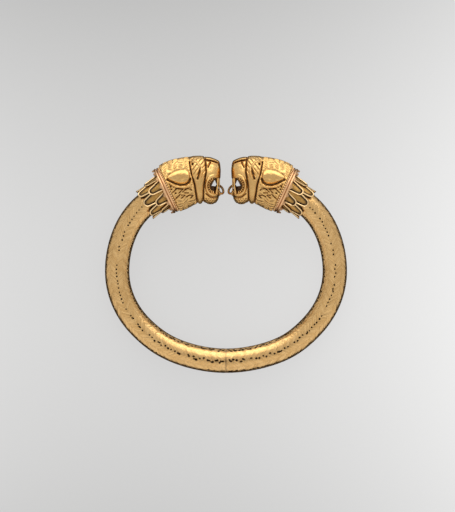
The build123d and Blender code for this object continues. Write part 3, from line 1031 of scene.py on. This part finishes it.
# Lines on the side of the head: millimetres behind the nose and over the middle line
MANE_FURROW = ((10.4, 8.2), (10.11, 6.83), (9.83, 4.55), (9.32, 1.54), (8.31, -1.70),
               (7.89, -4.55), (7.48, -7.28), (7.35, -8.6))
FACE_FURROW = ((5.3, 8.2), (5.17, 6.77), (4.85, 5.15), (4.66, 2.14), (4.98, 0.11),
               (5.36, -2.11), (5.48, -4.93), (5.58, -6.96), (5.65, -8.6))
EAR = ((17.2, 0.15), (16.6, 1.05), (15.8, 1.73), (14.6, 2.33), (12.9, 2.80), (11.2, 2.93),
       (10.1, 2.20), (9.75, 0.90), (10.0, -0.35), (10.9, -1.25), (12.9, -1.50), (14.9, -0.95))
EAR_CREST = ((17.0, 0.55), (15.3, 1.19), (13.6, 1.60), (11.6, 1.82), (10.3, 1.45), (9.7, 1.0))
EAR_SHADOW = ((16.9, -0.40), (15.8, -0.95), (14.6, -1.50), (12.9, -1.98), (11.2, -1.85),
              (10.1, -1.20), (9.65, -0.10))
EAR_RIM = ((16.3, -1.05), (15.4, -1.80), (14.2, -2.42), (12.6, -2.72), (11.0, -2.62),
           (9.9, -2.05), (9.15, -1.0), (9.05, 0.6))
UNDER_RIM = tuple((back, over - 0.72) for back, over in EAR_RIM[:6])
# Punched dots and the strokes of the lattice under the ear
MANE_DOTS = ((15.85, -2.6), (15.6, -3.4), (14.3, -4.6))
LATTICE = (
    ((15.2, -4.47), (13.95, -3.15), (12.0, -3.27), (13.2, -4.61)),
    ((12.05, -4.26), (11.4, -3.62), (10.76, -3.2), (9.63, -3.27), (9.2, -3.7)),
    ((11.5, -4.54), (10.2, -4.54)),
    ((14.5, -6.6), (12.8, -4.97)),
    ((12.46, -5.25), (11.3, -5.25), (12.4, -6.17)),
    ((10.97, -5.8), (9.84, -5.18), (8.78, -5.3), (9.49, -6.1)),
    ((15.2, -5.3), (14.6, -6.7), (14.0, -7.6)),
)
CURL = ((9.1, 5.3), (8.3, 5.7), (7.3, 5.0), (6.6, 3.6), (6.1, 2.2), (6.2, 0.9), (7.0, -0.3))
CURL_HOLLOW = ((6.5, 3.3), (6.8, 2.0), (7.2, 0.6), (7.35, -0.1))
CURL_DENT = (9.0, 4.6)
BROW = ((4.73, 6.5), (3.37, 6.36), (2.0, 5.96), (0.66, 5.28))
BROW_LINE = ((5.0, 6.0), (3.37, 5.75), (2.02, 5.41), (0.8, 4.94), (0.12, 3.8))
BROW_SHADOW = ((3.3, 5.2), (2.0, 4.85), (0.8, 4.35))
EYE = ((4.65, 5.5), (3.65, 5.35), (4.35, 3.9))
EYE_SHADOW = ((3.3, 5.2), (3.6, 4.5), (4.1, 3.5))
CHEEK = (2.8, 0.8)
LIP_GROOVE = ((4.75, -4.7), (3.5, -5.75), (1.9, -6.05), (0.4, -5.95))
RUFF_PITCH = 1.75          # of the furrows in the upper ruff
BEARD_PITCH = 0.85
TUFT_LENGTH = 1.7
HAIR_PITCH = 0.8
HAIR_DEPTH = 0.11

# Mouth
MOUTH = (2.09, -2.21)      # its middle
MOUTH_SIZE = (4.1, 5.1)
LIP_GAPE = 4.8
CORE_BREADTH = 4.6
THROUGH = ((3.05, -2.18), (2.14, -0.48), (1.76, 0.26), (-1.63, 0.26), (-1.63, -4.90),
           (1.92, -4.90), (2.20, -2.29))
# Canines from root to tip, the joined front teeth, and what is cut away at the nose and between
# the whisker pads: two places on the head and the radius at each
SPREAD = 3.2               # of the canines, from the middle of the head
TEETH = (
    ((0.90, 0.74, SPREAD), (1.08, -2.29, SPREAD), 0.5, 0.25),
    ((1.50, -5.16, SPREAD), (1.08, -2.29, SPREAD), 0.5, 0.25),
    ((0.55, 0.74), (0.55, -5.16), 0.22, 0.22),
)
NOSTRIL = ((0.9, 4.1, 1.0), (-0.6, 3.8, 1.25), 0.22, 0.42)
PAD_GROOVE = ((-0.15, 3.4), (0.25, 0.6), 0.30, 0.34)
FRONT_TOOTH = (0.75, 0.15)
FRONT_TOOTH_R = 0.32
FRONT_SPREAD = (0.75, 1.4, 2.05)
CHEEK_TEETH = 9
CHEEK_TEETH_TURN = (18, 168)
CHEEK_TEETH_REACH = (2.05, 2.55)  # of the oval that they stand on, back and up from its middle
CHEEK_TOOTH = ((1.02, 4.2), (0.74, 3.9))  # share of that reach and spread, at root and tip
CHEEK_TOOTH_R = (0.24, 0.19)
# The far wall of the mouth, which the ring hangs in front of
FAR_WALL = ((2.9, -2.25), (1.35, -2.25), (0.95, -2.9), (0.15, -3.9), (0.0, -4.6), (0.2, -5.3),
            (2.9, -5.3))
FAR_GUM = ((2.2, 0.4), (1.80, -0.68), (1.16, -2.17), (0.9, -2.2), (0.9, 0.4))
FAR_WALL_DEPTH = (-2.8, -1.95)


def smoothed(edge_0, edge_1, value):
    """Rises from 0 to 1 between two edges"""
    share = np.clip((value - edge_0) / (edge_1 - edge_0), 0, 1)
    return share * share * (3 - 2 * share)


def blended(a, b, reach):
    """The smaller of two distances, with a fillet"""
    share = np.clip(0.5 + 0.5 * (b - a) / reach, 0, 1)
    return b + (a - b) * share - reach * share * (1 - share)


def carved(a, b, reach):
    """Distance a with the inside of distance b cut away, the edge rounded"""
    return -blended(-a, b, reach)


class SideView:
    """A grid over the side of the head: millimetres behind the nose and over the middle line"""

    def __init__(self, x, y):
        self.back = -NOSE_GAP / 2 - x
        self.over = y - HEAD_RISE

    def to(self, spot):
        """Distance to a spot"""
        return np.hypot(self.back - spot[0], self.over - spot[1])

    def to_line(self, line):
        """Distance to a line"""
        best = np.full(np.broadcast(self.back, self.over).shape, np.inf)
        for (a0, a1), (b0, b1) in zip(line, line[1:]):
            run0, run1 = b0 - a0, b1 - a1
            share = (self.back - a0) * run0 + (self.over - a1) * run1
            share = np.clip(share / (run0**2 + run1**2), 0, 1)
            gap = np.hypot(self.back - a0 - share * run0, self.over - a1 - share * run1)
            best = np.minimum(best, gap)
        return best

    def to_lattice(self):
        return np.min([self.to_line(stroke) for stroke in LATTICE], axis=0)

    def to_beard_dot(self):
        row_pitch = BEARD_PITCH * 0.75
        row = np.floor((self.over + 8.0) / row_pitch)
        off_row = (self.over + 8.0) - (row + 0.5) * row_pitch
        off_dot = (self.back + row * BEARD_PITCH / 2) % BEARD_PITCH - BEARD_PITCH / 2
        return np.hypot(off_row, off_dot)

    def in_outline(self, outline):
        """Distance inside a closed outline, negative outside"""
        inside = np.zeros(np.broadcast(self.back, self.over).shape, bool)
        for (a0, a1), (b0, b1) in zip(outline, outline[1:] + outline[:1]):
            if a1 == b1:
                continue
            crosses = (self.over < a1) != (self.over < b1)
            inside ^= crosses & (self.back < a0 + (self.over - a1) * (b0 - a0) / (b1 - a1))
        reach = self.to_line(outline + outline[:1])
        return np.where(inside, reach, -reach)

    def off_mouth(self):
        """How far outside the mouth's oval a place lies, as a share of the oval's size"""
        across, up = (self.back - MOUTH[0]) / MOUTH_SIZE[0], (self.over - MOUTH[1]) / MOUTH_SIZE[1]
        return np.hypot(across, up) - 0.5

    def over_line(self, line):
        """How far over a line a place lies"""
        line = np.array(line)[::-1]
        return self.over - np.interp(self.back, line[:, 0], line[:, 1])

    def past(self, line):
        """How far behind a line a place lies, along the head"""
        line = np.array(line)
        order = np.argsort(line[:, 1])
        return self.back - np.interp(self.over, line[order, 1], line[order, 0])

    def ruff(self):
        """Where the lock of hair between mane and face lies"""
        in_front = smoothed(0.0, 0.45, -self.past(MANE_FURROW))
        return smoothed(0.0, 0.45, self.past(FACE_FURROW)) * in_front

    def beard(self):
        """Where the punched beard lies"""
        return smoothed(5.95, 6.2, -self.over) * smoothed(0.3, 0.6, -self.past(FACE_FURROW))


def ruff_relief(view):
    """How far the ruff stands over the side of the head, with its furrows and its curl"""
    behind_face = view.past(FACE_FURROW)
    width = np.maximum(behind_face - view.past(MANE_FURROW), 0.1)
    across = np.clip(behind_face / width, 0, 1)
    height = (0.22 + 0.25 * np.sin(pi * across)) * smoothed(-7.4, -5.6, -view.over)
    curl = view.to_line(CURL)
    comb = np.cos(2 * pi * (view.back * 1.25 + view.over) / RUFF_PITCH)
    comb = np.clip(comb, 0, 1) ** 2 * smoothed(-7.2, -6.0, -view.over)
    height += smoothed(-0.5, 1.0, view.over) * (0.08 - 0.26 * comb) * smoothed(0.3, 0.8, curl)
    height += 0.25 * smoothed(5.0, 6.8, view.over) - 0.3 * smoothed(0.5, 4.5, view.over)
    return height + ridge(curl, 0.32, 0.36)


def ear_relief(view):
    """How far the ear stands out: a leaf with a high upper fold over a veined hollow"""
    inside, crest = view.in_outline(EAR), view.over_line(EAR_CREST)
    fold = 0.5 * smoothed(1.3, -0.4, crest) - 0.22 * smoothed(-0.4, -1.2, crest)
    height = smoothed(-0.05, 0.3, inside) * (0.08 + fold)
    vein = np.sin(3.4 * view.over + 1.9 * view.back)
    vein = vein * np.sin(1.1 * view.back - 0.7 * view.over + 0.6)
    height += smoothed(0.2, 0.6, inside) * smoothed(0.2, -0.3, crest) * 0.08 * vein
    return height + ridge(inside + 0.12, 0.2, -0.13) * smoothed(-0.2, 0.6, crest)


def face_relief(view):
    """How far the brow, the cheek and the lips stand over the side of the head"""
    height = ridge(view.to(CHEEK), 1.9, 0.52)
    for line, half_width, rise in (
        (BROW, 0.34, 0.30), (BROW_LINE, 0.20, -0.5), (LIP_GROOVE, 0.22, -0.36),
    ):
        height += ridge(view.to_line(line), half_width, rise)
    off_eye = 1 - smoothed(-0.15, 0.1, view.in_outline(EYE))
    height += ridge(view.to_line(BROW_SHADOW), 0.60, -0.34) * off_eye
    rim = view.off_mouth() * sum(MOUTH_SIZE) / 2
    lip = smoothed(0.6, -0.9, view.over) * smoothed(0.0, 0.6, view.back)
    height += ridge(rim - 0.44, 0.44, 0.55) * lip
    return height + ridge(rim - 1.05, 0.24, -0.22) * smoothed(1.0, 2.0, view.back)


def head_relief(view):
    """How far the chased work stands over the side of the head, and where its hair grows"""
    back, over = view.back, view.over
    behind_mane, behind_face = view.past(MANE_FURROW), view.past(FACE_FURROW)
    height = ridge(behind_mane, 0.21, -0.65) * smoothed(-5.9, -4.9, -over)
    height = height + ridge(behind_face, 0.20, -0.65)
    height += ruff_relief(view) * view.ruff() + ear_relief(view)
    height += face_relief(view) * smoothed(0.0, 0.4, -behind_face)
    for line, half_width, rise in (
        (CURL_HOLLOW, 0.30, -0.65), (EAR_SHADOW, 0.27, -0.62), (EAR_RIM, 0.42, 0.42),
        (UNDER_RIM, 0.17, -0.22), (EYE_SHADOW, 0.19, -0.5),
        *((stroke, 0.19, -0.42) for stroke in LATTICE),
    ):
        height += ridge(view.to_line(line), half_width, rise)
    for dot, half_width, rise in (
        (CURL_DENT, 0.34, -0.6), *((dot, 0.25, -0.7) for dot in MANE_DOTS),
    ):
        height += ridge(view.to(dot), half_width, rise)
    eye = smoothed(-0.15, 0.1, view.in_outline(EYE))
    height += eye * (0.25 + 0.06 * (EYE[0][1] - over))
    height += view.beard() * ridge(view.to_beard_dot(), 0.2, -0.3)
    # unevenness of the worn sheet
    height += 0.022 * np.sin(2.9 * back + 1.7 * over) * np.sin(2.3 * over - 1.3 * back + 1)
    height += 0.014 * np.sin(5.3 * back - 3.1 * over) * np.sin(4.7 * over + 2.9 * back + 2)
    plain = smoothed(0.0, 0.5, -view.in_outline(EAR)) * smoothed(0.2, 0.6, view.to_lattice())
    return height, smoothed(0.0, 0.5, behind_mane) * plain


def mane_hair(along, round_head):
    """Tufts of short strokes, in rows down the mane"""
    tuft = np.floor(along / TUFT_LENGTH)
    share = along / TUFT_LENGTH - tuft
    lean = np.where(tuft % 2 == 0, 0.5, -0.25)
    wave = 0.35 * np.sin(round_head * 0.9 + tuft * 2.1)
    wave += 0.2 * np.sin(round_head * 2.3 + tuft * 4.7)
    phase = (round_head + lean * share * TUFT_LENGTH + wave + tuft * 0.37) / HAIR_PITCH
    return np.cos(2 * pi * phase) * np.sqrt(np.clip(np.sin(pi * share), 0, 1))


def on_head(back, over, z=0.0):
    """A place given in millimetres behind the nose and over the middle line"""
    return np.array((-NOSE_GAP / 2 - back, HEAD_RISE + over, z))


def ball(x, y, z, middle, radius):
    """Distance to a ball on the head"""
    away = zip((x, y, z), on_head(*middle))
    return np.sqrt(sum((a - b) ** 2 for a, b in away)) - radius


def spike(x, y, z, root, tip, root_r, tip_r):
    """Distance to a round spike on the head from its root to its tip"""
    root, run = on_head(*root), on_head(*tip) - on_head(*root)
    away = (x - root[0], y - root[1], z - root[2])
    share = np.clip(sum(a * r for a, r in zip(away, run)) / (run @ run), 0, 1)
    gap = np.sqrt(sum((a - share * r) ** 2 for a, r in zip(away, run)))
    return gap - (root_r + (tip_r - root_r) * share)


def fine_sections():
    """Top, bottom and half breadth of closely spaced sections, eased between the given ones"""
    seat = band_front + heading(BAND_TILT) * FIT_GAP
    up = outward(BAND_TILT)
    top, bottom = seat + up * (MANE_R + MANE_RISE), seat - up * (MANE_R - MANE_RISE)
    rows = [(*top[:2], *bottom[:2], MANE_BREADTH / 2)]
    for top_back, bottom_back, over, under, breadth in HEAD_SECTIONS:
        top, bottom = head_place(top_back, over), head_place(bottom_back, -under)
        rows.append((*top[:2], *bottom[:2], breadth * HEAD_BREADTH / 2))
    rows = np.array(rows)
    given = np.arange(len(rows))
    fine = np.linspace(0, len(rows) - 1, (len(rows) - 1) * SECTION_STEPS + 1)
    table = np.stack([np.interp(fine, given, column) for column in rows.T], axis=1)
    kernel = np.hanning(SECTION_STEPS + 2)[1:-1]
    kernel /= kernel.sum()
    ends = len(kernel) // 2
    ends = ((ends, len(kernel) - 1 - ends), (0, 0))
    padded = np.pad(table, ends, mode="reflect", reflect_type="odd")
    return np.stack([np.convolve(column, kernel, "valid") for column in padded.T], axis=1)


def skin(x, y, z):
    """Distances to the bare head, past its lips and before its mane, and how high in its section
    each place lies"""
    table = fine_sections()
    top, bottom, breadth = table[:, 0:2], table[:, 2:4], table[:, 4]
    span = top - bottom
    length = np.linalg.norm(span, axis=1)
    ahead = (x - bottom[:, 0]) * span[:, 1] - (y - bottom[:, 1]) * span[:, 0]
    ahead = ahead / length
    count = len(table)
    first = np.clip((ahead >= 0).sum(axis=-1) - 1, 0, count - 2)
    near, far = (
        np.take_along_axis(ahead, section[..., None], -1)[..., 0] for section in (first, first + 1)
    )
    share = np.clip(near / (near - far), 0, 1)

    def eased(values):
        return values[first] + (values[first + 1] - values[first]) * share

    half = eased(length) / 2
    middle = [eased((top + bottom)[:, k]) / 2 for k in range(2)]
    lean = [eased(span[:, k]) / 2 / half for k in range(2)]
    rise = (x[..., 0] - middle[0]) * lean[0] + (y[..., 0] - middle[1]) * lean[1]
    wide = eased(breadth)
    squarer = smoothed(0.4, 0.8, first / count)
    power = MANE_SQUARENESS + (FACE_SQUARENESS - MANE_SQUARENESS) * squarer
    reach = (np.abs(rise / half) ** power)[..., None]
    power = power[..., None]
    reach = reach + np.abs(z / wide[..., None]) ** power
    reach = np.maximum(reach, 1e-6) ** (1 / power)
    away = np.hypot(rise[..., None], z)
    gap = np.where(away < 1e-3, -half[..., None], away * (1 - 1 / reach))
    past_lips, before_mane = ahead[..., -1], -ahead[..., 0]
    return gap, past_lips[..., None], before_mane[..., None], rise[..., None]


def tooth_distances(x, y, z):
    """Distances to the teeth of the near half"""
    spikes = list(TEETH)
    for turn in np.linspace(*CHEEK_TEETH_TURN, CHEEK_TEETH).tolist():
        back = CHEEK_TEETH_REACH[0] * sin(radians(turn))
        over = CHEEK_TEETH_REACH[1] * cos(radians(turn))
        ends = [
            (MOUTH[0] + back * share, MOUTH[1] + over * share, spread)
            for share, spread in CHEEK_TOOTH
        ]
        spikes.append((*ends, *CHEEK_TOOTH_R))
    teeth = [spike(x, y, z, *each) for each in spikes]
    teeth += [ball(x, y, z, (*FRONT_TOOTH, spread), FRONT_TOOTH_R) for spread in FRONT_SPREAD]
    return np.min(teeth, axis=0)


def hollow_back(x, y, z):
    """Distances to the tapered bore behind the head"""
    run = heading(HOLLOW_TILT)
    depth = (x - band_front[0]) * run[0] + (y - band_front[1]) * run[1]
    side = (y - band_front[1]) * run[0] - (x - band_front[0]) * run[1]
    taper = (HOLLOW_FRONT_D - HOLLOW_BACK_D) / 2 * depth / HOLLOW_LENGTH
    return np.maximum(np.hypot(side, z) - HOLLOW_BACK_D / 2 - taper, depth - HOLLOW_LENGTH)


def mouth_hole(view, z):
    """Distances to the hollow of each cheek and to the hole right through the mouth"""
    cheek = view.off_mouth() * min(MOUTH_SIZE)
    front = np.maximum(view.back - MOUTH[0], np.abs(view.over - MOUTH[1]) - LIP_GAPE / 2)
    cheek = np.maximum(np.minimum(cheek, front), CORE_BREADTH / 2 - z)
    return np.minimum(cheek, -view.in_outline(THROUGH))


def head_distances(x, y, z):
    """Distances to the finished head, for places on its near half, and its hair"""
    view = SideView(x, y)
    bare, past_lips, before_mane, rise = skin(x, y, z)
    height, hair_place = head_relief(view)
    angle = np.arctan2(rise + 0 * z, np.maximum(z, 0) + 1e-6)
    hair = mane_hair(view.back + 0 * z, angle * 7.0) * hair_place
    solid = bare - (height + HAIR_DEPTH * hair) * (0.3 + 0.7 * smoothed(0.0, 2.4, z))
    solid = -blended(-solid, -past_lips, 0.9)
    solid = np.maximum(solid, before_mane)
    for hole, rounding in (
        (hollow_back(x, y, z), 0.2), (spike(x, y, z, *NOSTRIL), 0.15),
        (spike(x, y, z, *PAD_GROOVE), 0.25), (mouth_hole(view, z), 0.18),
    ):
        solid = carved(solid, hole, rounding)
    return blended(solid, tooth_distances(x, y, z), 0.12), hair


def box_blur(values, reach):
    """Averages over a cube of 2 reach + 1 voxels"""
    for axis in range(3):
        pad = [(reach + 1, reach) if k == axis else (0, 0) for k in range(3)]
        sums = np.cumsum(np.pad(values, pad, mode="edge"), axis=axis, dtype=np.float64)
        size = values.shape[axis]
        high = np.take(sums, range(2 * reach + 1, 2 * reach + 1 + size), axis=axis)
        low = np.take(sums, range(size), axis=axis)
        values = ((high - low) / (2 * reach + 1)).astype(np.float32)
    return values


def sampled(values, places):
    """Values of a grid at places given in voxels"""
    base = np.clip(np.floor(places).astype(int), 0, np.array(values.shape) - 2)
    share = places - base
    total = np.zeros(len(places))
    for corner in np.ndindex(2, 2, 2):
        weight = np.prod(np.where(corner, share, 1 - share), axis=1)
        i, j, k = (base + corner).T
        total += weight * values[i, j, k]
    return total


def thinned(points, faces, share):
    """The same surface with a share of its triangles"""
    host = mesh_host("thinned", points, faces)
    host.modifiers.new("thin", "DECIMATE").ratio = share
    return taken(baked(host))


def head_shade(points, near, wide, hair):
    """How much painted shade each point of the head gets, with the patina of its hollows: in its
    hollows, mouth, ear, ruff, mane and beard
    """
    x, y, z = points[:, 0], points[:, 1], np.abs(points[:, 2])
    view = SideView(x, y)
    # painted shade and patina in the hollows, from how much solid lies round each point, near and
    # wide
    hollow = np.clip((near - 0.53) * 4.5, 0, 1) + np.clip((wide - 0.53) * 3.0, 0, 1)
    # painted shade inside the mouth, strongest across its middle
    throat = smoothed(0.0, 0.1, -view.off_mouth()) * smoothed(0.0, 0.5, 2.9 - z)
    throat *= 0.45 + 0.55 * smoothed(-1.5, -2.2, view.over) * smoothed(-3.8, -3.3, view.over)
    # painted shade in the ear, under its fold
    ear = smoothed(0.1, 0.5, view.in_outline(EAR)) * smoothed(0.0, 0.5, -view.over_line(EAR_CREST))
    # the hollows' painted shade and patina weaken towards the head's middle plane; the mouth's and
    # the ear's painted shade are added
    hollow = hollow * (0.25 + 0.75 * smoothed(1.6, 4.4, z)) + throat + 0.24 * ear
    # painted shade on the lower part of the ruff
    hollow += 0.22 * view.ruff() * smoothed(1.5, -1.0, view.over)
    # painted shade on the lower mane and in the valleys of its hair
    mane = 0.1 * smoothed(0.0, 0.5, view.past(MANE_FURROW)) + 0.4 * np.clip(-hair, 0, 1)
    hollow += mane * smoothed(-1.5, -4.0, view.over)
    # painted shade on the mouth's walls, with the teeth in it lighter
    wall = smoothed(-0.01, 0.05, -view.off_mouth()) * smoothed(0.0, 0.5, 5.4 - z)
    off_teeth = smoothed(0.02, 0.14, tooth_distances(x, y, z))
    hollow = hollow * (1 - 0.8 * wall * (1 - off_teeth)) + 0.45 * wall * off_teeth
    # painted shade in the punched dots of the beard, the rest of the beard lighter
    beard = view.beard()
    hollow = hollow * (1 - 0.75 * beard) + beard * ridge(view.to_beard_dot(), 0.19, 0.45)
    return np.clip(hollow, 0, 1)


def lion_head():
    """The left head: its distances on a grid, turned into faces"""
    x, y = (np.arange(GRID_LOW[k], GRID_HIGH[k], VOXEL) for k in range(2))
    x, y = x[:, None, None], y[None, :, None]
    z = (np.arange(math.ceil(GRID_DEPTH / VOXEL)) + 0.5)[None, None, :] * VOXEL
    solid, hair = (
        np.concatenate((half[:, :, ::-1], half), axis=2) for half in head_distances(x, y, z)
    )
    depth = np.concatenate((-z[:, :, ::-1], z), axis=2)
    view = SideView(x, y)
    wall = np.maximum(FAR_WALL_DEPTH[0] - depth, depth - FAR_WALL_DEPTH[1])
    for outline in (FAR_WALL, FAR_GUM):
        solid = blended(solid, np.maximum(wall, -view.in_outline(outline)), 0.15)
    solid = solid.astype(np.float32)
    grid = openvdb.FloatGrid(9.0)
    grid.copyFromArray(np.clip(solid, -1.0, 1.0))
    places, triangles, quads = grid.convertToPolygons(0.0, 0.0)
    places, faces = thinned(places, triangles.tolist() + quads.tolist(), HEAD_SHARE)
    filled = np.clip(0.5 - solid / VOXEL, 0, 1)
    near, wide = (sampled(box_blur(filled, reach), places) for reach in (2, 5))
    points = places * VOXEL + np.array((*GRID_LOW, -z[0, 0, -1]))
    shade = head_shade(points, near, wide, sampled(hair, places))
    stock = Stock(chased_gold)
    stock.add((points, faces), chased_gold, shade)
    return stock.mesh("lion_head", crease=180)


pair("lion", lion_head(), "lion_head")


# Studio
PHOTO_H = 512
SCALE = 0.317              # millimetres in the object's plane for one pixel of the frame
VIEW_MIDDLE = (0.48, 4.69, 0.0)
LENS = 250.0
SENSOR = 36.0
FLOOR_SIZE = 3.0
LAMP_PLACE, LAMP_TARGET = (-0.15, 0.1, 0.9), (0.0, 0.0, 0.01)
LAMP_SIZE, LAMP_POWER = (0.8, 0.6), 0.1


def studio_camera():
    data = bpy.data.cameras.new("camera")
    data.lens, data.sensor_width = LENS, SENSOR
    data.clip_start, data.clip_end = 0.05, 10.0
    distance = PHOTO_H * SCALE * LENS / SENSOR
    made = linked("camera", data)
    made.location = at_rest(VIEW_MIDDLE) + LAID @ NEAR * distance * MM
    made.rotation_euler = (LEAN, 0.0, 0.0)
    bpy.context.scene.camera = made


def studio_floor():
    bpy.ops.mesh.primitive_plane_add(size=FLOOR_SIZE)
    floor = bpy.context.object
    floor.name = "floor"
    floor.data.materials.append(floor_finish())
    floor.visible_glossy = False


def studio_room():
    """Surroundings for the gold to mirror: dark low down, grey above, with a bright screen ahead"""
    world = bpy.data.worlds.new("studio")
    bpy.context.scene.world = world
    graph = emptied(world)
    right, back, up = graph.parts(graph.shader("TexCoord", out="Generated"))
    ahead = (back - right.size() * 1.2 + right * 0.22).clamped()
    room = ((up + ahead * 0.45 + 0.52) * 8).clamped()
    low_edge = up + 0.14 + (0.3 - right.size()).clamped() * 0.6
    screen = (ahead * 5).clamped() * ((0.88 - up) * 5).clamped() * (low_edge * 3.5).clamped()
    grey = graph.mix((back * -2 - 0.3).clamped(), rgba(0.71, 0.70, 0.68), rgba(0.93, 0.91, 0.88))
    colour = graph.mix(room, rgba(0.012, 0.008, 0.005), grey)
    colour = graph.mix(screen, colour, rgba(2.35, 2.3, 2.15))
    glow = graph.shader("Background", Color=colour, Strength=1.0)
    graph.shader("OutputWorld", Surface=glow)


def studio_lamp():
    """A weak soft box over the piece"""
    data = bpy.data.lights.new("over_box", "AREA")
    data.shape = "RECTANGLE"
    data.size, data.size_y = LAMP_SIZE
    data.energy = LAMP_POWER
    made = linked("over_box", data)
    made.location = LAMP_PLACE
    made.rotation_mode = "QUATERNION"
    direction = Vector(np.subtract(LAMP_PLACE, LAMP_TARGET))
    made.rotation_quaternion = direction.to_track_quat("Z", "Y")


studio_camera()
studio_floor()
studio_room()
studio_lamp()
bpy.context.scene.view_settings.view_transform = "Standard"
